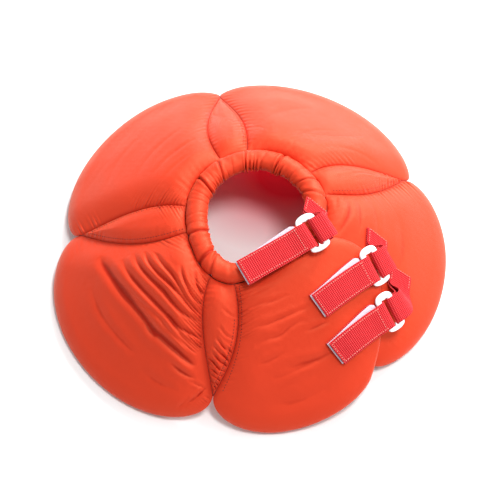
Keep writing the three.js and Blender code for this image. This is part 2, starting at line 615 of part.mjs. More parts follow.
// A tab: webbing looped over the ring's other bar, both ends sewn to the lower petal in one patch.
function makeTab(row, ringFrame, barOffset) {
  const over = (p) => p.clone().setZ(groundHeight(p.x, p.y));
  const half = WEBBING_WIDTH / 2;
  const rimRadius = PETAL_REACH * PETALS[0].reach;
  const far = polar(row.patchAzimuth, lerp(neckEdge(row.patchAzimuth), rimRadius, row.patchShare));
  const wide = headingVector(row.patchHeading);
  const beside = (way, distance) => over(far.clone().addScaledVector(way, distance));
  const across = beside(wide, -half).sub(beside(wide, half));
  const onward = beside(headingVector(row.patchRun), PATCH_LENGTH).sub(over(far));
  const patch = skewFrame(over(far), onward, across);
  // The two layers lie on each other at the patch and pass over and under the bar at the ring.
  const stack = (WEBBING_THICKNESS + WEBBING_GAP) / 2;
  const farEdge = off(patch, 0, stack + WEBBING_THICKNESS / 2 + WEBBING_GAP);
  const nearEdge = farEdge.clone().addScaledVector(patch.along, PATCH_LENGTH);
  const bar = ringFrame.centre.clone().addScaledVector(ringFrame.along, barOffset);
  const out = bar.clone().addScaledVector(ringFrame.along, RING_BAR);
  const run = new THREE.CubicBezierCurve3(
    out,
    out.clone().addScaledVector(ringFrame.along, TAB_BEND),
    nearEdge.clone().addScaledVector(patch.along, TAB_BEND),
    nearEdge,
  );
  const runLength = run.getLength();
  const ringSide = ringFrame.side.clone().negate();
  const ringAlong = ringFrame.along.clone().negate();
  const straight = RING_BAR;
  const sewn = straight + runLength;
  const base = (s) => {
    if (s <= straight)
      return frameOf(bar.clone().addScaledVector(ringFrame.along, s), ringAlong, ringSide);
    if (s >= sewn)
      return { ...patch, centre: nearEdge.clone().addScaledVector(patch.along, sewn - s) };
    const t = (s - straight) / runLength;
    const turned = ringSide.clone().lerp(patch.side, smooth(t));
    return skewFrame(run.getPointAt(t), run.getTangentAt(t).negate(), turned);
  };
  const gap = (s, layer) => layer * lerp(FOLD_HEIGHT, stack, smooth((s - straight) / runLength));
  const shortfall = (s) => {
    const frame = base(clamp(s, straight, sewn + PATCH_LENGTH));
    const below = steps(-half, half, 8).map((w) => off(frame, w, gap(s, -1) - WEBBING_THICKNESS / 2));
    return Math.max(...below.map((p) => groundHeight(p.x, p.y) + WEBBING_GAP - p.z));
  };
  const rail = (s) => {
    const frame = base(s);
    if (s <= straight) return frame;
    const rise = Math.max(0, ...steps(-SMOOTHING, SMOOTHING, 4).map((d) => shortfall(s + d)));
    return { ...frame, centre: frame.centre.clone().setZ(frame.centre.z + rise) };
  };
  const onRun = steps(straight, sewn, WEBBING_STEPS);
  const places = [...onRun, ...steps(sewn + PATCH_LENGTH / 3, sewn + PATCH_LENGTH, 2)];
  return foldedWebbing({ rail, gap, shift: () => 0, lower: places, upper: places });
}

const material = (name) => new THREE.MeshStandardMaterial({ ...COLOURS[name], metalness: 0 });
const collar = new THREE.Group();

function addPiece(name, geometry, look) {
  const mesh = new THREE.Mesh(geometry, material(look));
  mesh.name = name;
  collar.add(mesh);
  return mesh;
}

petals.forEach((petal, i) => addPiece(PETALS[i].name, padGeometry(petal, ...PETAL_GRID), "shell"));
GUSSETS.forEach((row, i) => addPiece(row.name, padGeometry(makeGusset(i), ...GUSSET_GRID), "shell"));
addPiece("neck_band", bandGeometry(...BAND_GRID), "shell");

FASTENERS.forEach((row, i) => {
  const { strap, tape, ringFrame, barOffset } = makeStrap(row);
  addPiece(`strap_${i + 1}`, strap, "webbing");
  addPiece(`hook_strip_${i + 1}`, tape, "tape");
  const ring = addPiece(`ring_${i + 1}`, ringGeometry(), "plastic");
  const { centre, along, side, up } = ringFrame;
  ring.setRotationFromMatrix(new THREE.Matrix4().makeBasis(along, side.clone().negate(), up));
  ring.position.copy(centre);
  addPiece(`tab_${i + 1}`, makeTab(row, ringFrame, barOffset), "webbing");
});

// The part's origin is under the middle of its box.
const box = new THREE.Box3().setFromObject(collar);
const middle = box.getCenter(new THREE.Vector3());
collar.position.set(-middle.x, -middle.y, -box.min.z);

export default collar;
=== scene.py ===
"""Looks of the soft petal collar, in metres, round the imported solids."""
import math
import bpy
import numpy as np
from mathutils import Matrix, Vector


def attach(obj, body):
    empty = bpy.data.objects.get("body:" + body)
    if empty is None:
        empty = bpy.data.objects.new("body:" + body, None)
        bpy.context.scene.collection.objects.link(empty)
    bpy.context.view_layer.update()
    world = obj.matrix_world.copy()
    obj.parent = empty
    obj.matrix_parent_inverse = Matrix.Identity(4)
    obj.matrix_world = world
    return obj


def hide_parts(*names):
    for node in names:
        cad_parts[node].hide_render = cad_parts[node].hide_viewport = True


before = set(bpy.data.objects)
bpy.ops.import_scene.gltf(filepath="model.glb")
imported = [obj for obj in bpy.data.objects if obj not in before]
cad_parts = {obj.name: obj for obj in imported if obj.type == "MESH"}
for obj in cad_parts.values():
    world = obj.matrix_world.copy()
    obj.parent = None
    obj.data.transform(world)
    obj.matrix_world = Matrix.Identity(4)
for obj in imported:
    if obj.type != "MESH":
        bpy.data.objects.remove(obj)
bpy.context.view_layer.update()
MM = 0.001
RAD = math.pi / 180
SHIFT = np.array([-0.055, 4.93, 0.0])  # from the cone's axis to the row frame, mm

# Camera, fitted to the photograph.
VIEW_ELEVATION = 64.2
VIEW_DISTANCE = 1200.0
VIEW_TARGET = np.array([-1.1, -28.7, 50.0])
LENS = 92.6
SENSOR = 36.0

# Cone, as in the solids.
NECK_HEIGHT = 74.0
RIM_HEIGHT = 3.6
CONE_BULGE = 1.5
CONE_FLARE = 1.3
CONE_SLOPE = 30
NOTCH_RADIUS = 166.0
PETAL_REACH = 196.0
GUSSET_PITCH = 78.5
FIRST_GUSSET = 22.5

# Padding. The seams are pulled in further than in the solids.
PETAL_THICKNESS = 17.0
PETAL_CROWN = 3.0
GUSSET_THICKNESS = 15.0
SEAM_THICKNESS = 2.2
PLUMP_WIDTH = 30.0
PLUMP_POWER = 0.66
RIM_ROUND = 13.0
RIM_EDGE = 1.2
LOOSE_REACH = 0.3
NECK_PLUMP = 0.7
LAYER_PRESS = 0.62
LAYER_GAP = 1.2
LAYER_RAMP = 36
LAYER_SPARE = 2
PRESS_RAMP = 18
PIECE_GAP = 0.3
UNDER_EDGE = 310
SEARCH_STEPS = 12
BEYOND = 0.01  # a share just outside a petal

# Meshes: columns and rows of a pad's top, and how its rows and columns crowd towards the seams.
PETAL_GRID = (240, 180)
LEAF_GRID = (70, 190)
BAND_GRID = (800, 56)
BOTTOM_STEP = 5  # the bottom has a vertex for every so many of the top
SIDE_CROWDING = 0.6
RIM_EVENNESS = 0.35
LEAST_BOTTOM = 0.05
LEAST_THICKNESS = 0.6
CLOTH_WIDTH = 200
# Painted shade along the seams and in the fold valleys:
SEAM_SHADE = 0.5
SEAM_SHADE_WIDTH = 1.6
FOLD_SHADE_FROM = 0.4

# Gussets
GUSSET_HALF_WIDTH = 18.5
GUSSET_PLUMP = 15.0
GUSSET_BLUNT = 0.25
LEAF_TIP = 0.1
LEAF_TIP_SEAM = 0.5

# Neck band
BAND_WIDTH = 20.0
BAND_HEIGHT = 17.0
BAND_RISE = 3.0
BAND_RADIUS = 57.0
BAND_START = -36
BAND_TAPER = 7
BAND_END = 0.35
BAND_END_MARGIN = 6

# Fasteners
WEBBING_WIDTH = 25.0
WEBBING_THICKNESS = 1.4
WEBBING_GAP = 0.4
STRAP_LENGTH = 68.0
STRAP_TAIL = 1.6
STRAP_SKEW = 5.0
SKEW_LOST = 0.9
TAPE_WIDTH = 24.0
TAPE_THICKNESS = 1.3
TAPE_START = 9.0
TAPE_NEAR_RING = 4.4  # where the tape begins, from the middle of the bar
PATCH_LENGTH = 12.0
TAB_BEND = 12.0
SMOOTHING = 3.0
STRAP_STEPS = 30
WIDTH_STEPS = 9
GROUND_STEPS = 18
FIRST_STEP = 2
PATCH_STEPS = 5
FIRST_PATCH_STEP = 3
FOLD_STEPS = 16
RUN_STEPS = 16
RUN_PARTS = 200
TANGENT_STEP = 0.2
RING_WIDTH = 19.0
RING_THICKNESS = 3.0
RING_BAR = 6.0
RING_END = 3.2
RING_BULGE = 1.0
RING_FAR_END = 2.2  # how much wider its upper end is
RING_PLAY = 1.0
HORN_LENGTH = 3.0
HORN_HALF_WIDTH = 1.0
HORN_FLARE = 1.6
HORN_POINT = 1.5
FAR_HORN_LENGTH = 0.4
RING_ROUND = 0.55
RING_STEPS = 40
RING_SIDES = 24
FOLD_REACH = RING_BAR / 2 + 2 * WEBBING_GAP + WEBBING_THICKNESS / 2
FOLD_HEIGHT = RING_THICKNESS / 2 + WEBBING_GAP + WEBBING_THICKNESS / 2

# How a ribbon's mesh is made.
RIB = 2.1
EDGE_ROUND, FACE_ROUND = 0.22, 0.5
WEBBING = dict(width=WEBBING_WIDTH, thickness=WEBBING_THICKNESS, pitch=0.35, rib_depth=0.18, sides=28)
TAPE = dict(width=TAPE_WIDTH, thickness=TAPE_THICKNESS, pitch=0.5, rib_depth=0.1, sides=20)

# name, node, lean, reach, width, bow
GUSSETS = [
    ("leaf_right", "gusset_1", 2, 0.95, 0.98, -1),
    ("leaf_far", "gusset_2", 5, 0.96, 1.0, 0),
    ("leaf_left", "gusset_3", 9, 0.97, 1.0, 0),
    ("leaf_near", "gusset_4", -8, 1.0, 0.9, 2.5),
]
# name, node, reach, square
PETALS = [
    ("petal_right_under", "petal_1", 0.97, 2.4),
    ("petal_far_right", "petal_2", 0.94, 2.9),
    ("petal_far_left", "petal_3", 0.96, 3.0),
    ("petal_near_left", "petal_4", 1.03, 2.3),
    ("petal_near_over", "petal_5", 0.985, 2.3),
]
FASTENERS = [
    dict(share=0, inset=0.3, heading=208.5, length=0.95,
         patch_azimuth=-1, patch_share=-0.08, patch_heading=-39, patch_run=-104),
    dict(share=0.44, inset=0.5, heading=218, length=0.86,
         patch_azimuth=-9.5, patch_share=0.4, patch_heading=-25, patch_run=-94),
    dict(share=0.7, inset=0.15, heading=219, length=0.84,
         patch_azimuth=-19, patch_share=0.64, patch_heading=-21, patch_run=-98),
]


def lerp(a, b, t):
    return a + (b - a) * t


def clamp(x, low, high):
    return np.minimum(high, np.maximum(low, x))


def smooth(x):
    x = clamp(x, 0, 1)
    return x * x * (3 - 2 * x)


class Curve:
    """A smooth curve through the rows of a table."""

    def __init__(self, rows):
        self.x, self.y = np.array(rows, float).T
        n = len(rows)
        before = [max(k - 1, 0) for k in range(n)]
        after = [min(k + 1, n - 1) for k in range(n)]
        self.slope = (self.y[after] - self.y[before]) / (self.x[after] - self.x[before])

    def __call__(self, at):
        at = np.asarray(at, float)
        i = np.clip(np.searchsorted(self.x, at) - 1, 0, len(self.x) - 2)
        span = self.x[i + 1] - self.x[i]
        t = clamp((at - self.x[i]) / span, 0, 1)
        t2, t3 = t * t, t * t * t
        return ((2 * t3 - 3 * t2 + 1) * self.y[i] + (t3 - 2 * t2 + t) * self.slope[i] * span
                + (3 * t2 - 2 * t3) * self.y[i + 1] + (t3 - t2) * self.slope[i + 1] * span)


band_line = Curve([(-36, 0.96), (6, 1.05), (43, 0.99), (92, 0.91), (143, 0.86), (194, 0.9), (217, 1.0),
                   (235, 1.13), (254, 1.19), (270, 1.05), (286, 0.94), (302, 0.9), (318, 0.92), (338, 1.03)])
free_line = Curve([(0, 331), (0.2, 338), (0.36, 339), (0.5, 336.5), (0.6, 333), (0.71, 324.5), (0.85, 318),
                   (1, 309)])
BAND_STOP = float(free_line(0))
LAYER_LIFT = (PETAL_THICKNESS * LAYER_PRESS) / math.cos(CONE_SLOPE * RAD) + LAYER_GAP


def gusset_azimuth(i):
    return FIRST_GUSSET + i * GUSSET_PITCH


def petal_centre(i):
    return FIRST_GUSSET + (i - 0.5) * GUSSET_PITCH


def band_radius(azimuth):
    return BAND_RADIUS * band_line(azimuth)


def neck_edge(azimuth):
    return band_radius(azimuth) + BAND_WIDTH / 2 + PIECE_GAP


def layer_share(azimuth):
    return smooth((azimuth - UNDER_EDGE + LAYER_SPARE) / LAYER_RAMP + 1)


def under_share(azimuth, share):
    return smooth((free_line(share) - 360 - azimuth) / PRESS_RAMP + 1)


def press_at(azimuth, share):
    return lerp(1, LAYER_PRESS, np.maximum(layer_share(azimuth), under_share(azimuth, share)))


def cone_radius(azimuth):
    place = clamp((np.asarray(azimuth, float) - petal_centre(0)) / GUSSET_PITCH, 0, len(PETALS) - 1)
    i = np.minimum(len(PETALS) - 2, np.floor(place)).astype(int)
    reach = np.array([row[2] for row in PETALS])
    return PETAL_REACH * lerp(reach[i], reach[i + 1], smooth(place - i))


def cone_height(azimuth, radius):
    inner = neck_edge(azimuth)
    share = clamp((radius - inner) / (cone_radius(azimuth) - inner), 0, 1)
    cone = lerp(RIM_HEIGHT, NECK_HEIGHT, (1 - share ** CONE_BULGE) ** CONE_FLARE)
    return cone + LAYER_LIFT * layer_share(azimuth)


def plump(distance, width):
    return np.sin((math.pi / 2) * clamp(distance / width, 0, 1)) ** PLUMP_POWER


def round_edge(distance):
    return np.sqrt(1 - (1 - clamp(distance / RIM_ROUND, 0, 1)) ** 2)


def leaf_half_width(i, share):
    in_leaf = clamp(share / GUSSETS[i][3], 0, 1)
    return GUSSET_HALF_WIDTH * GUSSETS[i][4] * np.sin(math.pi * lerp(GUSSET_BLUNT, 1, in_leaf))


def leaf_azimuth(i, share):
    return gusset_azimuth(i) + GUSSETS[i][2] * (1 - share) + GUSSETS[i][5] * np.sin(math.pi * share)


def leaf_radius(azimuth, share):
    return lerp(neck_edge(azimuth), NOTCH_RADIUS, share)


def leaf_edge(i, share, side, gap):
    middle = leaf_azimuth(i, share)
    return middle + (side * (leaf_half_width(i, share) + gap)) / (leaf_radius(middle, share) * RAD)


class Petal:
    """One petal's surfaces over u, from its first edge to its last, and v, from the neck to the rim."""

    def __init__(self, i):
        self.i = i
        self.first, self.last = i == 0, i == len(PETALS) - 1
        self.reach = PETAL_REACH * PETALS[i][2]
        self.end_radius = lerp(NOTCH_RADIUS, self.reach, LOOSE_REACH) if self.last else NOTCH_RADIUS

    def start(self, v):
        return UNDER_EDGE - 360 + 0 * v if self.first else leaf_edge(self.i - 1, v, 1, PIECE_GAP / 2)

    def end(self, v):
        return free_line(v) if self.last else leaf_edge(self.i, v, -1, PIECE_GAP / 2)

    def rim(self, u):
        corners = lerp(NOTCH_RADIUS, self.end_radius, u)
        bow = 1 - np.abs(2 * clamp(u, 0, 1) - 1) ** PETALS[self.i][3]
        return lerp(corners, self.reach, np.sqrt(clamp(bow, 0, 1)))

    def place(self, u, v):
        azimuth = lerp(self.start(v), self.end(v), u)
        inner = neck_edge(azimuth)
        radius = lerp(inner, self.rim(u), v)
        from_start = (azimuth - self.start(v)) * radius * RAD
        from_end = (self.end(v) - azimuth) * radius * RAD
        sides = plump(radius - inner, PLUMP_WIDTH * NECK_PLUMP)
        loose = round_edge(self.rim(u) - radius)
        if self.first:
            loose = loose * round_edge(from_start)
        else:
            sides = sides * plump(from_start, PLUMP_WIDTH)
        if self.last:
            loose = loose * round_edge(from_end)
        else:
            sides = sides * plump(from_end, PLUMP_WIDTH)
        press = press_at(azimuth, v)
        thickness = np.maximum(RIM_EDGE, lerp(SEAM_THICKNESS, PETAL_THICKNESS, sides) * press * loose)
        crown = PETAL_CROWN * sides * press * smooth((self.rim(u) - radius) / (3 * RIM_ROUND))
        middle = cone_height(azimuth, radius) + crown
        return dict(azimuth=azimuth, radius=radius, middle=middle, half=thickness / 2, from_start=from_start,
                    from_end=from_end, from_rim=self.rim(u) - radius, from_neck=radius - inner, share=v)

    def top_over(self, azimuth, radius):
        """Height of the top over a point of the plan, or 0 where the petal isn't."""
        u = 0.5 + 0 * azimuth
        v = 0.5 + 0 * azimuth
        for _ in range(SEARCH_STEPS):
            u = (azimuth - self.start(v)) / (self.end(v) - self.start(v))
            u = clamp(u, -BEYOND, 1 + BEYOND)
            v = (radius - neck_edge(azimuth)) / (self.rim(u) - neck_edge(azimuth))
            v = clamp(v, -BEYOND, 1 + BEYOND)
        at = self.place(u, v)
        outside = (u < 0) | (u > 1) | (v < 0) | (v > 1)
        return np.where(outside, 0, at["middle"] + at["half"])


class Gusset:
    """A leaf gusset's surfaces over u, across it, and v, from the neck to its tip."""

    def __init__(self, i):
        self.i = i

    def place(self, u, v):
        across = 2 * u - 1
        share = v * GUSSETS[self.i][3]
        middle = leaf_azimuth(self.i, share)
        half_width = np.maximum(leaf_half_width(self.i, share) - PIECE_GAP / 2, LEAF_TIP)
        azimuth = middle + (across * half_width) / (leaf_radius(middle, share) * RAD)
        radius = leaf_radius(azimuth, share)
        sides = plump((1 - np.abs(across)) * half_width, GUSSET_PLUMP)
        ends = plump(radius - neck_edge(azimuth), PLUMP_WIDTH * NECK_PLUMP)
        seam = SEAM_THICKNESS * lerp(LEAF_TIP_SEAM, 1, clamp(half_width / SEAM_THICKNESS, 0, 1))
        half = lerp(seam, GUSSET_THICKNESS, sides * ends) / 2
        return dict(azimuth=azimuth, radius=radius, middle=cone_height(azimuth, radius), half=half,
                    from_start=(1 + across) * half_width, from_end=(1 - across) * half_width,
                    from_neck=radius - neck_edge(azimuth), from_rim=NOTCH_RADIUS - radius, share=share)


def power(x, exponent):
    return np.sign(x) * np.abs(x) ** exponent


def unit(vector):
    return vector / np.linalg.norm(vector, axis=-1, keepdims=True)


def turns(sides, first=0.0):
    return 2 * math.pi * (np.arange(sides) + first) / sides


def smooth_line(t, points, at):
    """Points of the smooth line through the given ones, whose places along it are t."""
    return np.stack([Curve(list(zip(t, column)))(at) for column in np.transpose(points)], axis=1)


def walked_along(line):
    return np.concatenate([[0], np.cumsum(np.linalg.norm(np.diff(line, axis=0), axis=1))])


def at_length(line, walked, where):
    return np.stack([np.interp(where, walked, column) for column in np.transpose(line)], axis=-1)


def bezier(hold, t):
    a, b, c, d = map(np.array, hold)
    t = t[:, None]
    return (1 - t) ** 3 * a + 3 * (1 - t) ** 2 * t * b + 3 * (1 - t) * t * t * c + t ** 3 * d


def to_points(azimuth, radius, z):
    azimuth, radius, z = np.broadcast_arrays(azimuth, radius, z)
    return np.stack([radius * np.cos(azimuth * RAD), radius * np.sin(azimuth * RAD), z], axis=-1)


def over_plan(at, z):
    return to_points(at["azimuth"], at["radius"], z)


# ---- meshes
def add_mesh(name, points, faces, uvs=None, painted_shade=None):
    """A smooth mesh object from points in mm in the cone's frame. uvs, in mm, and the painted shade of
    folds, pinches and seams are per vertex.
    """
    mesh = bpy.data.meshes.new(name)
    mesh.from_pydata(((np.asarray(points) + SHIFT) * MM).tolist(), [], faces)
    if uvs is not None:
        layer = mesh.uv_layers.new(name="UVMap")
        index = np.zeros(len(mesh.loops), dtype=np.int32)
        mesh.loops.foreach_get("vertex_index", index)
        layer.data.foreach_set("uv", (np.asarray(uvs)[index] * MM).astype(np.float32).ravel())
    if painted_shade is not None:
        mesh.attributes.new("painted_shade", "FLOAT", "POINT").data.foreach_set("value", np.float32(painted_shade).ravel())
    mesh.polygons.foreach_set("use_smooth", [True] * len(mesh.polygons))
    mesh.update()
    made = bpy.data.objects.new(name, mesh)
    bpy.context.scene.collection.objects.link(made)
    return made


def dress(piece, material, nodes=()):
    piece.data.materials.append(material)
    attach(piece, "root")
    if nodes:
        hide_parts(*nodes)
    return piece


def grid_faces(columns, rows, start, flip):
    ids = start + np.arange((columns + 1) * (rows + 1)).reshape(rows + 1, columns + 1)
    a, b, c, d = ids[:-1, :-1], ids[:-1, 1:], ids[1:, 1:], ids[1:, :-1]
    order = (a, d, c, b) if flip else (a, b, c, d)
    return np.stack([x.ravel() for x in order], axis=1).tolist()


def edge_loop(ids):
    """The ids round a grid's border, against the way the top's faces turn."""
    return np.concatenate([ids[0, :-1], ids[:-1, -1], ids[-1, :0:-1], ids[:0:-1, 0]])


def round_faces(rows, sides, start=0, ends="filled"):
    """Faces round a body made of rows of points, each a loop. Its ends are filled, open or joined."""
    ids = start + np.arange(rows * sides).reshape(rows, sides)
    if ends == "joined":
        ids = np.concatenate([ids, ids[:1]])
    nxt = np.roll(ids, -1, axis=1)
    faces = np.stack([ids[:-1], ids[1:], nxt[1:], nxt[:-1]], axis=-1).reshape(-1, 4).tolist()
    return faces + ([ids[0].tolist(), ids[-1][::-1].tolist()] if ends == "filled" else [])


def pad_mesh(name, pad, grid, folds):
    """A closed pad: a fine top, a bottom with fewer faces and the same outline, and a wall between them."""
    columns, rows = grid
    u, v = (np.linspace(0, 1, count + 1) for count in grid)
    u = lerp(u, 0.5 - 0.5 * np.cos(math.pi * u), SIDE_CROWDING)
    u, v = np.meshgrid(u, lerp(np.sin((math.pi / 2) * v), v, RIM_EVENNESS))
    at = pad.place(u, v)
    lift = folds(at, over_plan(at, 0.0))
    bottom = np.maximum(LEAST_BOTTOM, at["middle"] - at["half"])
    top = np.maximum(at["middle"] + at["half"] + lift, bottom + LEAST_THICKNESS)
    every = (slice(None, None, BOTTOM_STEP),) * 2
    low = over_plan(at, bottom)[every]
    points = np.concatenate([over_plan(at, top).reshape(-1, 3), low.reshape(-1, 3)])
    count = (columns + 1) * (rows + 1)
    # A right-handed (u, v) runs with azimuth then outwards, so the top's faces turn the other way.
    faces = grid_faces(columns, rows, 0, True)
    faces += grid_faces(columns // BOTTOM_STEP, rows // BOTTOM_STEP, count, False)
    fine = edge_loop(np.arange(count).reshape(rows + 1, columns + 1))
    coarse = edge_loop(count + np.arange(low.shape[0] * low.shape[1]).reshape(low.shape[:2]))
    for k, (here, after) in enumerate(zip(coarse, np.roll(coarse, -1))):
        above = fine[(k * BOTTOM_STEP + np.arange(BOTTOM_STEP + 1)) % len(fine)]
        faces.append(above.tolist() + [int(after), int(here)])
    uv = np.stack([(u - 0.5) * CLOTH_WIDTH, at["radius"]], axis=-1)
    # Painted shade: darker red along the seams and in the fold valleys.
    from_seam = np.minimum.reduce([at["from_start"], at["from_end"], at["from_neck"]])
    shade = SEAM_SHADE * np.exp(-(from_seam / SEAM_SHADE_WIDTH) ** 2)
    painted_shade = clamp(shade + clamp(-lift - FOLD_SHADE_FROM, 0, 1), 0, 1)
    return add_mesh(name, points, faces, np.concatenate([uv.reshape(-1, 2), uv[every].reshape(-1, 2)]),
                    np.concatenate([painted_shade.ravel(), 0 * painted_shade[every].ravel()]))


# ---- folds
# Long folds over the pads: depth and width in mm, then the way of the fold in the plan.
FOLDS = {
    "petal_near_left": [
        (2.70, 5.6, [(-143, -32), (-133, -49), (-120, -69), (-106, -87), (-94, -103), (-87, -117)]),
        (2.50, 4.8, [(-94, -104), (-86, -112), (-74, -123), (-62, -133), (-50, -141)]),
        (2.09, 3.6, [(-120, -41), (-114, -54), (-104, -68), (-91, -83), (-80, -95), (-72, -104), (-65, -115),
                    (-55, -126)]),
        (2.31, 3.0, [(-109, -37), (-102, -52), (-91, -66), (-80, -78), (-70, -91), (-60, -100),
                    (-44, -107)]),
        (2.42, 2.6, [(-98, -38), (-93, -51), (-84, -63), (-73, -74), (-63, -86), (-53, -97), (-42, -102)]),
        (2.09, 2.3, [(-89, -40), (-81, -54), (-73, -64), (-65, -77), (-58, -88), (-50, -96), (-40, -99)]),
        (1.65, 2.0, [(-64, -58), (-61, -70), (-55, -83), (-48, -90), (-39, -95)]),
        (1.54, 2.0, [(-51, -61), (-49, -75), (-44, -84), (-36, -89)]),
        (1.43, 3.2, [(-75, -136), (-63, -145), (-50, -151)]),
        (1.87, 2.6, [(-76, -99), (-66, -109), (-56, -115), (-45, -119)]),
        (1.10, 2.4, [(-118, -64), (-99, -86), (-83, -102), (-74, -113), (-60, -125), (-48, -131)]),
        (0.88, 4.5, [(-150, -60), (-138, -88), (-120, -112), (-104, -128)]),
        (0.66, 4.0, [(-100, -140), (-84, -152), (-66, -160)]),
        (0.80, 1.8, [(-68, -173), (-62, -169), (-56, -164)]),
        (0.90, 1.7, [(-62, -172), (-55, -167), (-49, -162)]),
        (1.00, 1.7, [(-55, -169), (-49, -164), (-43, -159)]),
        (0.90, 1.5, [(-50, -164), (-45, -160), (-40, -156)]),
        (0.70, 1.8, [(-58, -152), (-49, -155), (-41, -158)]),
    ],
    "petal_near_over": [
        (0.93, 2.6, [(2, -113), (13, -111), (24, -107), (32, -104), (42, -100), (54, -95)]),
        (1.02, 3.0, [(3, -128), (15, -122), (26, -119), (37, -111), (50, -106)]),
        (1.40, 4.0, [(26, -146), (42, -141), (53, -138), (62, -135), (75, -128)]),
        (0.64, 3.2, [(18, -152), (32, -149), (44, -144), (58, -140)]),
        (0.64, 3.0, [(6, -142), (20, -137), (30, -132)]),
        (0.85, 2.4, [(48, -116), (61, -110), (70, -106)]),
        (0.56, 2.6, [(-1, -86), (7, -84), (20, -79)]),
        (0.56, 2.6, [(-1, -98), (7, -95), (20, -92), (34, -87)]),
        (0.56, 5.0, [(20, -172), (45, -168), (72, -156)]),
    ],
    "leaf_near": [
        (1.44, 1.5, [(-32, -120), (-24, -128), (-14, -131)]),
        (1.80, 1.6, [(-35, -125), (-27, -133), (-16, -138)]),
        (1.92, 1.5, [(-36, -130), (-28, -138), (-18, -142)]),
        (2.04, 1.5, [(-37, -135), (-30, -143), (-20, -146)]),
        (1.92, 1.5, [(-37, -140), (-31, -147), (-22, -149)]),
        (1.68, 1.4, [(-37, -145), (-32, -150), (-25, -152)]),
        (1.44, 1.3, [(-37, -150), (-33, -154), (-28, -155)]),
        (0.84, 1.6, [(-29, -112), (-22, -119), (-12, -121)]),
        (0.60, 1.8, [(-26, -98), (-18, -103), (-10, -104)]),
    ],
    "petal_right_under": [
        (1.02, 3.6, [(88, 19), (91, 5), (90, -6), (84, -18), (78, -27)]),
        (0.64, 3.6, [(97, 22), (101, 4), (101, -12), (98, -24)]),
        (0.58, 3.4, [(112, 20), (117, 2), (118, -16), (114, -32)]),
        (0.38, 5.0, [(135, 16), (142, -8), (142, -30), (136, -50)]),
        (0.44, 3.0, [(76, 24), (79, 10), (78, -2)]),
    ],
    "petal_far_left": [
        (0.36, 3.4, [(-92, 42), (-80, 58), (-64, 72), (-50, 82)]),
        (0.32, 3.0, [(-84, 32), (-72, 46), (-58, 58)]),
        (0.27, 4.0, [(-110, 44), (-100, 64), (-84, 84), (-66, 100)]),
        (0.23, 5.0, [(-140, 40), (-132, 70), (-112, 100)]),
    ],
    "petal_far_right": [
        (0.30, 3.4, [(58, 62), (80, 74), (104, 76), (126, 68)]),
        (0.25, 3.0, [(40, 78), (60, 92), (84, 100)]),
        (0.30, 3.0, [(36, 62), (42, 74), (52, 84)]),
        (0.20, 5.0, [(10, 100), (34, 122), (64, 134)]),
    ],
    "leaf_right": [
        (0.6, 2.0, [(96, 44), (108, 50), (122, 52)]),
        (0.5, 2.0, [(126, 46), (138, 52), (148, 57)]),
    ],
    "leaf_left": [
        (0.5, 2.0, [(-96, 12), (-108, 8), (-122, 10)]),
    ],
}
# Gathers beside a seam: which side of the pad, from and to as shares of the way from neck to rim, spacing,
# reach from the seam, depth, and how far they lean along the seam for each mm away from it.
GATHERS = {
    "petal_near_left": [
        ("end", -0.02, 0.62, 2.7, 12, 1.05, 0.35), ("end", 0.9, 1.02, 3.0, 9, 0.8, 0.3),
        ("start", 0.1, 0.95, 6.5, 7, 0.2, 0.2), ("neck", 0.0, 1.0, 5.0, 7, 0.3, 0.2),
        ("start", -0.02, 0.3, 4.6, 10, 0.6, 0.5),
    ],
    "petal_near_over": [
        ("start", -0.02, 0.5, 3.3, 9, 1.0, 0.35), ("start", 0.5, 1.0, 5.0, 5, 0.3, 0.3),
        ("neck", 0.0, 1.0, 5.0, 6, 0.25, 0.2),
    ],
    "petal_far_left": [
        ("end", -0.02, 0.48, 3.4, 9, 0.85, 0.5), ("end", 0.72, 1.0, 4.2, 7, 0.75, -0.6),
        ("start", 0.0, 1.0, 6.0, 5, 0.25, 0.2), ("neck", 0.0, 1.0, 6.0, 8, 0.25, 0.3),
    ],
    "petal_far_right": [
        ("start", 0.0, 0.5, 5.0, 8, 0.4, 0.3), ("end", 0.05, 0.95, 6.0, 6, 0.35, 0.3),
        ("neck", 0.0, 1.0, 6.0, 8, 0.25, 0.3),
    ],
    "petal_right_under": [
        ("start", 2.0, 3.0, 5.0, 5, 0.0, 0.0),  # none on the hidden edge, but the row counts in the seeds
        ("end", 0.3, 1.0, 4.0, 7, 0.7, -0.4),
        ("neck", 0.0, 1.0, 5.5, 9, 0.3, -0.3),
    ],
    "leaf_near": [
        ("end", 0.55, 1.0, 3.6, 9, 0.9, 0.6), ("start", 0.6, 1.0, 3.8, 6, 0.7, -0.5),
        ("start", 0.0, 0.5, 5.0, 5, 0.3, 0.2), ("end", 0.0, 0.5, 5.0, 4, 0.25, 0.2),
    ],
    "leaf_left": [
        ("start", -0.02, 0.3, 3.4, 8, 0.8, 0.5), ("end", 0.7, 1.0, 4.0, 6, 0.5, 0.3),
        ("start", 0.3, 1.0, 5.0, 4, 0.3, 0.2), ("end", 0.0, 0.7, 5.5, 4, 0.25, 0.2),
    ],
    "leaf_far": [
        ("start", 0.0, 0.5, 4.5, 6, 0.4, 0.3), ("end", 0.0, 0.9, 5.0, 4, 0.3, 0.2),
    ],
    "leaf_right": [
        ("end", 0.7, 1.0, 3.6, 8, 0.8, 0.5), ("start", 0.6, 1.0, 4.0, 6, 0.6, -0.4),
        ("end", 0.0, 0.6, 5.0, 4, 0.3, 0.2), ("start", 0.0, 0.6, 5.0, 4, 0.3, 0.2),
    ],
}
RIDGE = 0.45  # height of the ridges beside a fold as a share of its depth
RIDGE_AWAY, RIDGE_WIDTH = 2.1, 1.3  # where they are and how wide, as shares of the valley's width
FOLD_SHARPNESS = 0.62  # width of a fold's valley as a share of the width in its row
FOLD_WIDTHS = (1.25, 0.85)  # how that width goes from a fold's start to its end
FOLD_FADE = 0.6
VALLEY_POWER = 1.5
FOLD_PARTS = 23
SOFTNESS, SOFT_PITCH = 0.28, 42  # slow unevenness of the filling, mm
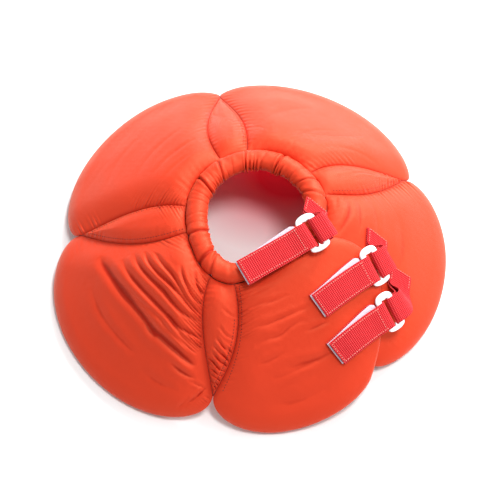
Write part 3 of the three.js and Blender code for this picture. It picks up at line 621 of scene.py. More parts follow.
CRINKLE, CRINKLE_PITCH = 0.04, 7  # fine unevenness of the cloth, mm
GATHER_DRIFT, GATHER_SHARPNESS, LEAST_GATHER = 0.8, 0.8, 2.0
LENGTH_SPREAD, DEPTH_SPREAD = 0.45, 0.5
# How far in from the rim, the seams and the edges the cloth's relief comes up to its full height, mm.
SOFT_MARGIN, RIM_MARGIN, FOLD_MARGIN, GATHER_MARGIN, EDGE_MARGIN = 12, 10, 2.5, 1.2, 3
GATHERS_MARGIN = 0.06


def waves(x, y, pitch, seed, count=5):
    """Smooth unevenness between about -1 and 1 with a given pitch, always the same for one seed."""
    random = np.random.default_rng(seed)
    total = 0 * x
    for _ in range(count):
        turn, phase, scale = random.uniform(0, 2 * math.pi, 2).tolist() + [random.uniform(0.7, 1.4)]
        k = 2 * math.pi / (pitch * scale)
        total = total + np.sin(k * (x * math.cos(turn) + y * math.sin(turn)) + phase)
    return total / math.sqrt(2 * count) * 1.2


def fold_height(x, y, depth, width, way):
    """One fold: a valley with a low ridge on each side, fading out at both ends."""
    line = smooth_line(np.arange(len(way)), way, np.linspace(0, len(way) - 1, FOLD_PARTS + 1))
    best = np.full(x.shape, 1e9)
    along = np.zeros(x.shape)
    for n in range(len(line) - 1):
        (ax, ay), (bx, by) = line[n], line[n + 1]
        dx, dy = bx - ax, by - ay
        share = clamp(((x - ax) * dx + (y - ay) * dy) / (dx * dx + dy * dy), 0, 1)
        away = np.hypot(x - ax - share * dx, y - ay - share * dy)
        nearer = away < best
        best = np.where(nearer, away, best)
        along = np.where(nearer, (n + share) / (len(line) - 1), along)
    fade = np.sin(math.pi * clamp(along, 0.0, 1.0)) ** FOLD_FADE
    grow = FOLD_SHARPNESS * width * lerp(*FOLD_WIDTHS, along)
    valley = np.exp(-(best / grow) ** VALLEY_POWER)
    ridge = np.exp(-((best - RIDGE_AWAY * grow) / (RIDGE_WIDTH * grow)) ** 2)
    return depth * fade * (RIDGE * ridge - valley)


def gather_height(t, away, pitch, reach, depth, lean, seed):
    """Short uneven gathers that run away from a seam; t is the place along it."""
    away = np.maximum(away, 0)
    t = t + lean * away
    uneven = waves(t, 0 * t, pitch * 4.3, seed)
    length = reach * (1 + LENGTH_SPREAD * waves(t, 0 * t, pitch * 2.3, seed + 1))
    strength = 1 + DEPTH_SPREAD * waves(t, 0 * t, pitch * 3.1, seed + 2)
    wave = power(np.sin(2 * math.pi * (t + GATHER_DRIFT * uneven) / pitch), GATHER_SHARPNESS)
    return depth * strength * wave * np.exp(-(away / np.maximum(length, LEAST_GATHER)) ** VALLEY_POWER)


def cloth_folds(name):
    seed = sum(map(ord, name))

    def lift(at, plan):
        x, y = plan[..., 0], plan[..., 1]
        total = (SOFTNESS * waves(x, y, SOFT_PITCH, seed, 7)
                 + CRINKLE * waves(x, y, CRINKLE_PITCH, seed + 1, 7))
        sides = np.minimum(at["from_start"], at["from_end"])
        total = total * smooth(sides / SOFT_MARGIN) * smooth(at["from_rim"] / RIM_MARGIN)
        for depth, width, way in FOLDS.get(name, ()):
            total = total + fold_height(x, y, depth, width, way) * smooth(sides / FOLD_MARGIN)
        for n, (side, low, high, pitch, reach, depth, lean) in enumerate(GATHERS.get(name, ())):
            if side == "neck":
                away, t = at["from_neck"], at["azimuth"] * RAD * BAND_RADIUS
                window = 1
            else:
                away, t = at["from_" + side], at["radius"]
                window = (smooth((at["share"] - low) / GATHERS_MARGIN)
                          * smooth((high - at["share"]) / GATHERS_MARGIN))
            height = gather_height(t, away, pitch, reach, depth, lean, seed + 10 * n)
            total = total + window * smooth(away / GATHER_MARGIN) * height
        return total * smooth(at["half"] / EDGE_MARGIN) * smooth(at["from_rim"] / EDGE_MARGIN)

    return lift


# ---- materials
SHELL_RED = (0.70, 0.047, 0.018)
SHELL_PAINTED_SHADE = (0.33, 0.004, 0.002)
SHELL_SHADE = 0.84  # how dark its uneven patches may be
MOST_PAINTED_SHADE = 0.85  # share of the painted shade in the deepest folds and seams
# The webbing's red, its painted highlight on the floats and its painted shade in the hollows.
WEBBING_RED = (0.60, 0.012, 0.016)
WEBBING_FLOAT_HIGHLIGHT = (0.94, 0.11, 0.12)
WEBBING_HOLLOW_SHADE = (0.40, 0.005, 0.012)
# The white tape painted down to a shaded lilac grey, and darker still as painted shade between the loops.
TAPE_SHADED_WHITE = (0.74, 0.66, 0.75)
TAPE_LOOP_SHADE = (0.52, 0.43, 0.53)
PLASTIC_WHITE = (0.94, 0.94, 0.95)
PLASTIC_GREY = (0.90, 0.90, 0.925)
THREAD_DARK = (0.15, 0.004, 0.003)
THREAD_PINK = (0.98, 0.36, 0.30)
THREAD_SHADE = 0.6
WEAVE_PITCH = 0.5
RIB_PITCH = (3.8, 3.1)


def node_material(name, colour, roughness, **sockets):
    """A material, its tree and its shader, whose sockets are named with _ for each space."""
    material = bpy.data.materials.new(name)
    material.use_nodes = True
    shader = material.node_tree.nodes["Principled BSDF"]
    shader.inputs["Base Color"].default_value = (*colour, 1)
    shader.inputs["Roughness"].default_value = roughness
    for key, value in sockets.items():
        shader.inputs[key.replace("_", " ")].default_value = value
    return material, material.node_tree, shader


def node(tree, kind, **values):
    made = tree.nodes.new("ShaderNode" + kind)
    for key, value in values.items():
        if hasattr(made, key):
            setattr(made, key, value)
        else:
            made.inputs[key].default_value = value
    return made


def feed(tree, socket, value):
    """Links a socket to another one, or sets it to a number or a colour."""
    if isinstance(value, bpy.types.NodeSocket):
        tree.links.new(value, socket)
    elif isinstance(value, tuple):
        socket.default_value = (*value, 1)
    else:
        socket.default_value = value


def math_node(tree, operation, *values):
    made = node(tree, "Math", operation=operation)
    for socket, value in zip(made.inputs, values):
        feed(tree, socket, value)
    return made.outputs[0]


def mix_colour(tree, factor, a, b):
    made = node(tree, "Mix", data_type="RGBA")
    for key, value in (("Factor", factor), (6, a), (7, b)):
        feed(tree, made.inputs[key], value)
    return made.outputs[2]


def uv_waves(tree, pitch_u, pitch_v):
    """Phases of waves along and across the cloth, each with its pitch in mm."""
    split = node(tree, "SeparateXYZ")
    feed(tree, split.inputs[0], node(tree, "UVMap", uv_map="UVMap").outputs[0])
    return [math_node(tree, "MULTIPLY", split.outputs[k], 2 * math.pi / (pitch * MM))
            for k, pitch in enumerate((pitch_u, pitch_v))]


def in_place(tree, made):
    """Lets a texture or vector node read the place in the object."""
    feed(tree, made.inputs["Vector"], node(tree, "TexCoord").outputs["Object"])
    return made


def noise_at(tree, scale, detail=2.0):
    return in_place(tree, node(tree, "TexNoise", Scale=scale, Detail=detail)).outputs["Fac"]


def paint(tree, shader, factor, a, b):
    feed(tree, shader.inputs["Base Color"], mix_colour(tree, factor, a, b))


def roughen(tree, shader, noise, spread, least):
    uneven = math_node(tree, "MULTIPLY", noise, spread)
    feed(tree, shader.inputs["Roughness"], math_node(tree, "ADD", uneven, least))


def bump_chain(tree, shader, heights):
    """Bumps one on another: each a height socket and the height in mm that 1 stands for."""
    normal = None
    for height, distance in heights:
        made = node(tree, "Bump", Strength=1.0, Distance=distance * MM)
        feed(tree, made.inputs["Height"], height)
        if normal is not None:
            feed(tree, made.inputs["Normal"], normal)
        normal = made.outputs[0]
    feed(tree, shader.inputs["Normal"], normal)


def shell_material(name):
    """Satin waterproof nylon: a fine plain weave, slight unevenness, and painted shade in the folds, pinches
    and seams.
    """
    look, tree, shader = node_material(
        name, SHELL_RED, 0.4, Specular_IOR_Level=0.28, Specular_Tint=(1.0, 0.7, 0.36, 1),
        Sheen_Weight=0.15, Sheen_Roughness=0.4, Sheen_Tint=(1.0, 0.6, 0.26, 1))
    painted_shade = node(tree, "Attribute", attribute_name="painted_shade").outputs["Fac"]
    uneven = math_node(tree, "MULTIPLY", noise_at(tree, scale=14, detail=3.0), 0.4)
    tone = mix_colour(tree, uneven, SHELL_RED, tuple(SHELL_SHADE * c for c in SHELL_RED))
    paint(tree, shader, math_node(tree, "MULTIPLY", painted_shade, MOST_PAINTED_SHADE), tone, SHELL_PAINTED_SHADE)
    roughen(tree, shader, noise_at(tree, scale=60), spread=0.14, least=0.36)
    weave = math_node(tree, "MULTIPLY", *[math_node(tree, "SINE", phase)
                                          for phase in uv_waves(tree, WEAVE_PITCH, WEAVE_PITCH)])
    bump_chain(tree, shader, [(noise_at(tree, scale=150), 0.12), (noise_at(tree, scale=900), 0.04),
                              (weave, 0.02)])
    return look


def webbing_material(name):
    """Woven webbing: ribs across it, and staggered floats of yarn, with a painted highlight on each float
    and painted shade in the hollows between them.
    """
    look, tree, shader = node_material(
        name, WEBBING_RED, 0.75, Specular_IOR_Level=0.25, Specular_Tint=(1.0, 0.5, 0.5, 1),
        Sheen_Weight=0.04, Sheen_Tint=(1.0, 0.4, 0.4, 1))
    u, v = uv_waves(tree, *RIB_PITCH)
    lattice = math_node(tree, "MULTIPLY", *[math_node(tree, "SINE", math_node(tree, way, u, v))
                                            for way in ("ADD", "SUBTRACT")])
    # Painted highlight on the floats and painted shade in the hollows.
    float_highlight = math_node(tree, "POWER", math_node(tree, "MAXIMUM", lattice, 0.0), 1.2)
    hollow_shade = math_node(tree, "MAXIMUM", math_node(tree, "MULTIPLY", lattice, -1.0), 0.0)
    paint(tree, shader, hollow_shade, mix_colour(tree, float_highlight, WEBBING_RED, WEBBING_FLOAT_HIGHLIGHT), WEBBING_HOLLOW_SHADE)
    bump_chain(tree, shader, [(lattice, 0.35), (noise_at(tree, scale=1500), 0.1)])
    return look


def tape_material(name):
    """Hook-and-loop tape: a fuzz of fine loops, its white painted down to a shaded lilac grey, with painted
    shade between the loops.
    """
    look, tree, shader = node_material(name, TAPE_SHADED_WHITE, 0.95, Sheen_Weight=0.4, Sheen_Roughness=0.7)
    loops = in_place(tree, node(tree, "TexVoronoi", Scale=1100.0)).outputs["Distance"]
    # Painted shade: lighter at each loop's middle, darker between the loops.
    paint(tree, shader, loops, TAPE_SHADED_WHITE, TAPE_LOOP_SHADE)
    bump_chain(tree, shader, [(loops, 0.4), (noise_at(tree, scale=2500, detail=3.0), 0.2)])
    return look


def plastic_material(name):
    """Glossy moulded plastic with the faintest waviness."""
    look, tree, shader = node_material(name, PLASTIC_WHITE, 0.2, Coat_Weight=0.35, Coat_Roughness=0.1)
    paint(tree, shader, noise_at(tree, scale=90), PLASTIC_WHITE, PLASTIC_GREY)
    roughen(tree, shader, noise_at(tree, scale=300, detail=3.0), spread=0.12, least=0.14)
    bump_chain(tree, shader, [(noise_at(tree, scale=160, detail=1.0), 0.1)])
    return look


def thread_material(name, colour):
    look, tree, shader = node_material(name, colour, 0.6)
    paint(tree, shader, noise_at(tree, scale=1800), colour, tuple(THREAD_SHADE * c for c in colour))
    bump_chain(tree, shader, [(noise_at(tree, scale=3000), 0.08)])
    return look


shell_look = shell_material("shell_nylon")
webbing_look = webbing_material("webbing")
tape_look = tape_material("hook_and_loop")
plastic_look = plastic_material("white_plastic")
thread_look = thread_material("dark_red_thread", THREAD_DARK)
pink_thread_look = thread_material("pink_thread", THREAD_PINK)

# ---- pads
petals = [Petal(i) for i in range(len(PETALS))]
leaves = [Gusset(i) for i in range(len(GUSSETS))]
for rows, pads, grid in ((PETALS, petals, PETAL_GRID), (GUSSETS, leaves, LEAF_GRID)):
    for row, pad in zip(rows, pads):
        piece = pad_mesh(row[0], pad, grid, cloth_folds(row[0]))
        dress(piece, shell_look, [row[1]])


# ---- neck band
def band_section(azimuth):
    press = press_at(azimuth, 0)
    from_end = clamp(np.minimum(azimuth - BAND_START, BAND_STOP - azimuth) / BAND_TAPER, 0, 1)
    fullness = lerp(BAND_END, 1, np.sqrt(1 - (1 - from_end) ** 2))
    return dict(radius=band_radius(azimuth), z=NECK_HEIGHT + BAND_RISE + LAYER_LIFT * layer_share(azimuth),
                half_width=(BAND_WIDTH / 2) * fullness, half_height=(BAND_HEIGHT / 2) * press * fullness)


# Pinches across the band: azimuth at its outer and inner side, width in mm, depth in mm.
PINCHES = [
    (95.2, 97.2, 0.8, 1.0), (147, 156, 1.5, 2.2), (122, 130, 1.4, 1.5), (171, 175, 1.2, 0.28),
    (205.6, 211.3, 1.6, 1.6), (229.6, 232, 1.8, 1.8), (241, 236, 1.3, 1.1), (218, 227, 1.4, 0.26),
    (60, 62, 1.3, 1.7), (25.6, 31.4, 1.0, 1.0), (9.3, 18.8, 1.6, 1.1), (40, 43, 1.8, 0.39),
    (74, 80, 1.2, 0.3), (109, 114, 1.2, 0.22), (138, 142, 1.2, 0.3), (162, 167, 1.1, 0.26),
    (190, 188, 1.2, 0.30), (197, 201, 1.0, 0.22), (256, 251, 1.4, 0.3), (-8, -2, 1.6, 0.44),
    (-22, -18, 1.6, 0.39),
]
FULL_PINCH = 1.5  # the pinch depth that takes the full painted shade
OUTER_PINCH = 0.75  # their strength on the band's outer side
PINCH_RIDGE, PINCH_RIDGE_AWAY, PINCH_RIDGE_WIDTH = 0.4, 2.2, 1.5
# The crumpled inner hem: from and to in azimuth, and its depth in mm.
HEM_PITCH, HEM_SPREAD, HEM_REACH, HEM_MARGIN = 4.2, 0.4, 0.9, 5
HEMS = [(50, 68, 1.6), (76, 102, 1.5), (118, 160, 0.35), (190, 240, 0.25), (20, 48, 0.4)]


def band_lift(azimuth, turn):
    """How far the band's cloth stands out from a smooth tube."""
    inner = 0.5 - 0.5 * np.cos(turn)
    total = 0 * azimuth * turn
    for outer_at, inner_at, width, depth in PINCHES:
        away = (azimuth - lerp(outer_at, inner_at, inner)) * RAD * BAND_RADIUS
        strength = lerp(OUTER_PINCH, 1.0, inner)
        valley = np.exp(-(away / width) ** 2)
        ridge = np.exp(-((np.abs(away) - PINCH_RIDGE_AWAY * width) / (PINCH_RIDGE_WIDTH * width)) ** 2)
        total = total + depth * strength * (PINCH_RIDGE * ridge - valley)
    t = azimuth * RAD * BAND_RADIUS
    total = total + 0.16 * waves(t, turn * 6, 9, 71, 6) + 0.25 * waves(t, turn * 3, 24, 72, 5)
    for low, high, depth in HEMS:
        window = smooth((azimuth - low) / HEM_MARGIN) * smooth((high - azimuth) / HEM_MARGIN)
        near = np.exp(-(((turn - math.pi) / HEM_REACH) ** 2))
        ruffle = np.sin(2 * math.pi * (t + waves(t, 0 * t, 17, 73)) / HEM_PITCH)
        total = total + window * near * depth * ruffle * (1 + HEM_SPREAD * waves(t, turn * 8, 6, 74))
    return total


def band_mesh(name, grid):
    count, sides = grid
    azimuth = np.linspace(BAND_START, BAND_STOP, count + 1)[:, None]
    turn = turns(sides)[None, :]
    at = band_section(azimuth)
    lift = band_lift(azimuth, turn) * smooth(at["half_width"] / BAND_END_MARGIN)
    radius = at["radius"] + (at["half_width"] + lift) * np.cos(turn)
    z = at["z"] + (at["half_height"] + lift) * np.sin(turn)
    points = to_points(azimuth, radius, z).reshape(-1, 3)
    ends = to_points(azimuth[[0, -1], 0], at["radius"][[0, -1], 0], at["z"][[0, -1], 0])
    faces = round_faces(count + 1, sides, ends="open")
    first, last, end = len(points), len(points) + 1, count * sides
    faces += [[first, k, (k + 1) % sides] for k in range(sides)]
    faces += [[last, end + (k + 1) % sides, end + k] for k in range(sides)]
    along, across = np.broadcast_arrays(azimuth * RAD * BAND_RADIUS, turn * BAND_WIDTH / 2)
    uv = np.stack([along, across], axis=-1).reshape(-1, 2)
    # Painted shade in the pinches.
    painted_shade = clamp(-lift / FULL_PINCH, 0, 1).ravel()
    return add_mesh(name, np.concatenate([points, ends]), faces, np.concatenate([uv, uv[[0, -1]]]),
                    np.concatenate([painted_shade, [0, 0]]))


dress(band_mesh("neck_ring", BAND_GRID), shell_look, ["neck_band"])


# ---- fasteners
def band_over(azimuth, radius):
    on = (azimuth >= BAND_START) & (azimuth <= BAND_STOP)
    at = band_section(clamp(azimuth, BAND_START, BAND_STOP))
    aside = (radius - at["radius"]) / at["half_width"]
    height = at["z"] + at["half_height"] * np.sqrt(clamp(1 - aside * aside, 0, 1))
    return np.where(on & (np.abs(aside) <= 1), height, 0)


def ground_height(x, y):
    x, y = np.asarray(x, float), np.asarray(y, float)
    radius = np.hypot(x, y)
    azimuth = np.arctan2(y, x) / RAD
    around = azimuth + np.where(azimuth < 0, 360, 0)
    return np.maximum.reduce([petals[0].top_over(azimuth, radius), petals[-1].top_over(around, radius),
                              band_over(azimuth, radius), band_over(around, radius)])


def heading_vector(degrees):
    return np.array([math.cos(degrees * RAD), math.sin(degrees * RAD), 0.0])


def polar(azimuth, radius):
    return heading_vector(azimuth) * radius


def skew_frame(centre, along, side):
    return dict(centre=centre, along=unit(along), side=unit(side), up=unit(np.cross(side, along)))


def frame_of(centre, along, side):
    made = skew_frame(centre, along, side)
    made["side"] = unit(np.cross(made["along"], made["up"]))
    return made


def off(at, w, n):
    return at["centre"] + at["side"] * w + at["up"] * n


def raised(point, height):
    return np.array([point[0], point[1], height])


def strap_sheet(bar, heading, length):
    """Frames for the strap's way: a curve over the ground that nothing under its width comes above."""
    back, across = heading_vector(heading), heading_vector(heading + 90)

    def plan(s, w):
        return bar + back * s + across * w

    def over(s, w):
        p = plan(s, w)
        return float(ground_height(p[0], p[1]))

    half = WEBBING_WIDTH / 2
    widths = np.linspace(-half, half, WIDTH_STEPS)
    near, middle, far = [max(over(s, w) for w in widths) for s in (0, length / 2, length)]
    left, right = over(length / 2, -half), over(length / 2, half)
    roll = (right - left) / WEBBING_WIDTH if left and right else 0

    def curve(s):
        t = s / length
        return near + (4 * middle - 3 * near - far) * t + (2 * far + 2 * near - 4 * middle) * t * t

    rise = -NECK_HEIGHT
    for s in np.linspace(-RING_WIDTH / 2, length, GROUND_STEPS + 1):
        for w in widths:
            ground = over(s, w)
            if ground:
                rise = max(rise, ground - curve(s) - roll * w)

    def point(s, w):
        return raised(plan(s, w), curve(s) + roll * w + rise + WEBBING_GAP)

    return lambda s: frame_of(point(s, 0), point(s - 1, 0) - point(s + 1, 0), point(s, 1) - point(s, -1))


def folded_webbing(rail, gap, shift, lower, upper):
    """Frames along webbing folded round the bar: its lower layer, the fold, then its upper layer."""
    frames = []

    def add(s, w, n, turn, at):
        along = at["along"] * math.cos(turn) + at["up"] * math.sin(turn)
        frames.append(dict(centre=off(at, w, n) + at["along"] * s, side=at["side"],
                           up=unit(-np.cross(along, at["side"]))))

    for s in lower[::-1]:
        add(0, shift(s, -1), gap(s, -1), 0, rail(s))
    for turn in np.linspace(0, math.pi, FOLD_STEPS + 1):
        s, n = FOLD_REACH * math.sin(turn), -FOLD_HEIGHT * math.cos(turn)
        add(s, shift(0, -math.cos(turn)), n, turn, rail(0))
    for s in upper:
        add(0, shift(s, 1), gap(s, 1), math.pi, rail(s))
    return frames


def make_strap(row):
    edge_azimuth = float(free_line(row["share"]))
    inner = float(neck_edge(edge_azimuth))
    edge = polar(edge_azimuth, lerp(inner, PETAL_REACH * PETALS[-1][2], row["share"]))
    bar_offset = (RING_WIDTH - RING_BAR) / 2
    centre = edge + heading_vector(edge_azimuth - 90) * row["inset"] * RING_WIDTH
    bar = centre + heading_vector(row["heading"]) * bar_offset
    length = STRAP_LENGTH * row["length"]
    sheet = strap_sheet(bar, row["heading"], length + STRAP_TAIL)
    low = WEBBING_THICKNESS / 2

    def rail(s):
        at = sheet(s)
        return dict(at, centre=off(at, 0, low + FOLD_HEIGHT))

    closed = WEBBING_THICKNESS + TAPE_THICKNESS + 2 * WEBBING_GAP

    def lift(s):
        return lerp(2 * FOLD_HEIGHT, closed, float(smooth(s / (2 * TAPE_START))))

    def gap(s, layer):
        return -FOLD_HEIGHT if layer < 0 else lift(s) - FOLD_HEIGHT

    def aside(s):
        return -STRAP_SKEW * float(smooth(s / TAPE_START)) * (1 - SKEW_LOST * float(smooth(s / length)))

    def shift(s, layer):
        return aside(s) if layer < 0 else 0

    lower, upper = (np.linspace(FIRST_STEP, end, STRAP_STEPS) for end in (length + STRAP_TAIL, length))
    strap = folded_webbing(rail, gap, shift, lower, upper)
    height = low + WEBBING_GAP + TAPE_THICKNESS / 2 - FOLD_HEIGHT
    tape = [dict(rail(s), centre=off(rail(s), aside(s), height))
            for s in np.linspace(length + STRAP_TAIL - WEBBING_GAP, TAPE_NEAR_RING, STRAP_STEPS)]
    at_bar = rail(0)
    ring_at = dict(at_bar, centre=at_bar["centre"] + at_bar["along"] * bar_offset)
    return strap, tape, ring_at, bar_offset


def make_tab(row, ring_at, bar_offset):
    def over(p):
        return raised(p, float(ground_height(p[0], p[1])))

    half = WEBBING_WIDTH / 2
    inner = float(neck_edge(row["patch_azimuth"]))
    far = polar(row["patch_azimuth"], lerp(inner, PETAL_REACH * PETALS[0][2], row["patch_share"]))
    wide = heading_vector(row["patch_heading"])
    across = over(far - wide * half) - over(far + wide * half)
    onward = over(far + heading_vector(row["patch_run"]) * PATCH_LENGTH) - over(far)
    patch = skew_frame(over(far), onward, across)
    stack = (WEBBING_THICKNESS + WEBBING_GAP) / 2
    far_edge = off(patch, 0, stack + WEBBING_THICKNESS / 2 + WEBBING_GAP)
    near_edge = far_edge + patch["along"] * PATCH_LENGTH
    bar = ring_at["centre"] + ring_at["along"] * bar_offset
    out = bar + ring_at["along"] * RING_BAR
    hold = [out, out + ring_at["along"] * TAB_BEND, near_edge + patch["along"] * TAB_BEND, near_edge]
    line = bezier(hold, np.linspace(0, 1, RUN_PARTS + 1))
    walked = walked_along(line)
    run_length = walked[-1]
    ring_side, ring_along = -ring_at["side"], -ring_at["along"]
    straight = RING_BAR
    sewn = straight + run_length

    def base(s):
        if s <= straight:
            return frame_of(bar + ring_at["along"] * s, ring_along, ring_side)
        if s >= sewn:
            return dict(patch, centre=near_edge + patch["along"] * (sewn - s))
        d = s - straight
        behind, here, ahead = at_length(line, walked, [d - TANGENT_STEP, d, d + TANGENT_STEP])
        side = lerp(ring_side, patch["side"], float(smooth(d / run_length)))
        return skew_frame(here, behind - ahead, side)

    def gap(s, layer):
        return layer * lerp(FOLD_HEIGHT, stack, float(smooth((s - straight) / run_length)))

    def shortfall(s):
        at = base(float(clamp(s, straight, sewn + PATCH_LENGTH)))
        n = gap(s, -1) - WEBBING_THICKNESS / 2
        below = [off(at, w, n) for w in np.linspace(-half, half, WIDTH_STEPS)]
        ground = ground_height([p[0] for p in below], [p[1] for p in below])
        return max(ground + WEBBING_GAP - np.array([p[2] for p in below]))

    def rail(s):
        at = base(s)
        if s <= straight:
            return at
        rise = max([0.0] + [shortfall(s + d) for d in np.linspace(-SMOOTHING, SMOOTHING, 5)])
        return dict(at, centre=at["centre"] + np.array([0, 0, rise]))

    places = np.concatenate([np.linspace(straight, sewn, RUN_STEPS),
                             np.linspace(sewn + FIRST_PATCH_STEP, sewn + PATCH_LENGTH, PATCH_STEPS)])
    rails = {float(s): rail(float(s)) for s in places}
    rails[0] = rail(0)
    return folded_webbing(lambda s: rails[float(s)], gap, lambda s, layer: 0, places, places)


def dense(frames, pitch):
    """Frames at an even pitch along a smooth line through the given ones, and how far along each is."""
    keys = {k: np.array([at[k] for at in frames]) for k in ("centre", "side", "up")}
    walked = walked_along(keys["centre"])
    where = np.linspace(0, walked[-1], max(2, int(walked[-1] / pitch) + 1))
    made = {key: smooth_line(walked, values, where) for key, values in keys.items()}
    return made["centre"], unit(made["side"]), unit(made["up"]), where


def ribbon(name, frames, width, thickness, pitch, rib_depth, sides):
    """A band with rounded edges along a line of frames, ribbed across."""
    centre, side, up, where = dense(frames, pitch)
    turn = turns(sides, 0.5)
    across = power(np.cos(turn), EDGE_ROUND) * (width / 2)
    ripple = 1 - rib_depth * (0.5 - 0.5 * np.cos(2 * math.pi * where / RIB))
    over = power(np.sin(turn), FACE_ROUND)[None, :] * (thickness / 2) * ripple[:, None]
    points = centre[:, None] + side[:, None] * across[:, None] + up[:, None] * over[..., None]
    uv = np.stack(np.broadcast_arrays(where[:, None], across), axis=-1)
    return add_mesh(name, points.reshape(-1, 3), round_faces(len(where), sides), uv.reshape(-1, 2))


def ring_mesh(name, at):
    """The ring: outline and window walked together, with a rounded section between them."""
    window = WEBBING_WIDTH / 2 + RING_PLAY
    half_width, half_length = RING_WIDTH / 2, window + RING_END
    inner = half_width - RING_BAR
    t = np.linspace(0, 1, RING_STEPS, endpoint=False)

    def half_outline(extra):
        low, top = half_length + extra, half_length + RING_BULGE + extra
        third = window / 3
        holds = [[(half_width, -window), (half_width, -third), (half_width, third), (half_width, window)],
                 [(half_width, window), (half_width, low), (inner, top), (0, top)],
                 [(0, top), (-inner, top), (-half_width, low), (-half_width, window)]]
        return np.concatenate([bezier(hold, t) for hold in holds])

    def half_opening(horn):
        x = np.concatenate([inner * (1 - t), -inner * t])
        peak = clamp(1 - np.abs(x) / (HORN_HALF_WIDTH * HORN_FLARE), 0, 1)
        side = lerp(np.array([inner, -window]), np.array([inner, window]), t[:, None])
        return np.concatenate([side, np.stack([x, window - horn * peak ** HORN_POINT], axis=1)])

    outer = np.concatenate([half_outline(RING_FAR_END), -half_outline(0)])
    opening = np.concatenate([half_opening(FAR_HORN_LENGTH), -half_opening(HORN_LENGTH)])
    middle, reach = (outer + opening) / 2, (outer - opening) / 2
    turn = turns(RING_SIDES)
    plan = middle[:, None] + reach[:, None] * power(np.cos(turn), RING_ROUND)[None, :, None]
    height = np.broadcast_to(power(np.sin(turn), RING_ROUND) * RING_THICKNESS / 2, plan.shape[:2])
    points = (at["centre"] + at["along"] * plan[..., :1] - at["side"] * plan[..., 1:]
              + at["up"] * height[..., None])
    return add_mesh(name, points.reshape(-1, 3), round_faces(len(middle), RING_SIDES, ends="joined"))


webbing = []
for n, row in enumerate(FASTENERS, 1):
    strap, tape, ring_at, bar_offset = make_strap(row)
    tab = make_tab(row, ring_at, bar_offset)
    dress(ribbon(f"webbing_strap_{n}", strap, **WEBBING), webbing_look, [f"strap_{n}"])
    dress(ribbon(f"fastening_tape_{n}", tape, **TAPE), tape_look, [f"hook_strip_{n}"])
    dress(ring_mesh(f"plastic_ring_{n}", ring_at), plastic_look, [f"ring_{n}"])
    dress(ribbon(f"webbing_loop_{n}", tab, **WEBBING), webbing_look, [f"tab_{n}"])
    webbing.append((strap, tab))

# ---- seams and stitches
UP = (0.0, 0.0, 1.0)
CORD_RADIUS = 0.55
CORD_RISE = 0.25
NECK_CORD_RADIUS = 1.5
NECK_CORD_RISE = -0.4
NECK_CORD_INSET = 2
STITCH_INSET = 3.4
LAP_STITCH_INSET = 3.2
STITCH_RISE = 0.1
EDGE_INSET = 2.2
SEAM_STEPS, NECK_SEAM_STEPS, SEWN_STEPS = 160, 400, 240
LAP_SEWN, LAP_PROBE = (0.03, 0.9), 0.05  # along the lapping petal's first seam, and a place near it
WEBBING_STITCH_RISE = 0.14
# A stitch's height and thickness along it, as shares of its radius.
STITCH_SINK = np.array([-1.6, -0.2, 0.1, -0.2, -1.6])
STITCH_SIZE = np.array([0.45, 0.95, 1.0, 0.95, 0.45])
CLOTH_STITCH = dict(pitch=2.9, length=1.9, radius=0.36)
WEBBING_STITCH = dict(pitch=2.6, length=1.8, radius=0.3)
# The sewn sides of the leaves: which leaf and side, and from and to along it.
SEWN = [(2, 1, 0.03, 0.93), (2, -1, 0.05, 0.9), (3, 1, 0.35, 0.95), (0, -1, 0.1, 0.9), (1, -1, 0.1, 0.9)]


def round_points(line, side, up, size, sides):
    """Points round a line, a circle at each of its points."""
    turn = turns(sides)[:, None]
    circles = side[..., None, :] * np.cos(turn) + up[..., None, :] * np.sin(turn)
    return (line[:, None] + size[:, None, None] * circles).reshape(-1, 3)


def cord(name, line, radius, sides=8):
    """A thin round cord along a line of points."""
    along = unit(np.gradient(line, axis=0))
    side = unit(np.cross(along, UP))
    points = round_points(line, side, np.cross(side, along), np.full(len(line), radius), sides)
    dress(add_mesh(name, points, round_faces(len(line), sides)), thread_look)


def stitches(name, line, look, slot, pitch, length, radius, sides=6):
    """A row of short threads along a line of points, each dipping into the cloth at both ends."""
    walked = walked_along(line)
    count = len(STITCH_SINK)
    points, faces = [], []
    for start in np.arange(0, walked[-1] - length, pitch):
        middle = at_length(line, walked, start + np.linspace(0, length, count))
        along = unit(middle[-1] - middle[0])
        side = unit(np.cross(along, UP))
        up = np.cross(side, along)
        middle = middle + up * (radius * STITCH_SINK)[:, None]
        faces += round_faces(count, sides, len(points) * count * sides)
        points.append(round_points(middle, side, up, radius * STITCH_SIZE, sides))
    dress(add_mesh(name, np.concatenate(points), faces), look)


def sew_cloth(name, piece, pad, u, v):
    """Stitches along a line on a pad's folded top."""
    at = pad.place(u, v)
    top = at["middle"] + at["half"] + cloth_folds(piece)(at, over_plan(at, 0.0)) + STITCH_RISE
    stitches("stitches_" + name, over_plan(at, top), thread_look, "shell", **CLOTH_STITCH)


# The seam cords are dark red thread, and their darkness also stands as painted shade in the seam grooves.
for i, row in enumerate(GUSSETS):
    for side, word in ((-1, "a"), (1, "b")):
        share = np.linspace(0, 1, SEAM_STEPS)
        azimuth = leaf_edge(i, share, side, 0)
        radius = leaf_radius(azimuth, share)
        seam = to_points(azimuth, radius, cone_height(azimuth, radius) + CORD_RISE)
        cord(f"seam_{row[0]}_{word}", seam, CORD_RADIUS)
azimuth = np.linspace(BAND_START + NECK_CORD_INSET, BAND_STOP - NECK_CORD_INSET, NECK_SEAM_STEPS)
radius = neck_edge(azimuth) - PIECE_GAP / 2
seam = to_points(azimuth, radius, cone_height(azimuth, radius) + NECK_CORD_RISE)
cord("seam_neck", seam, NECK_CORD_RADIUS)

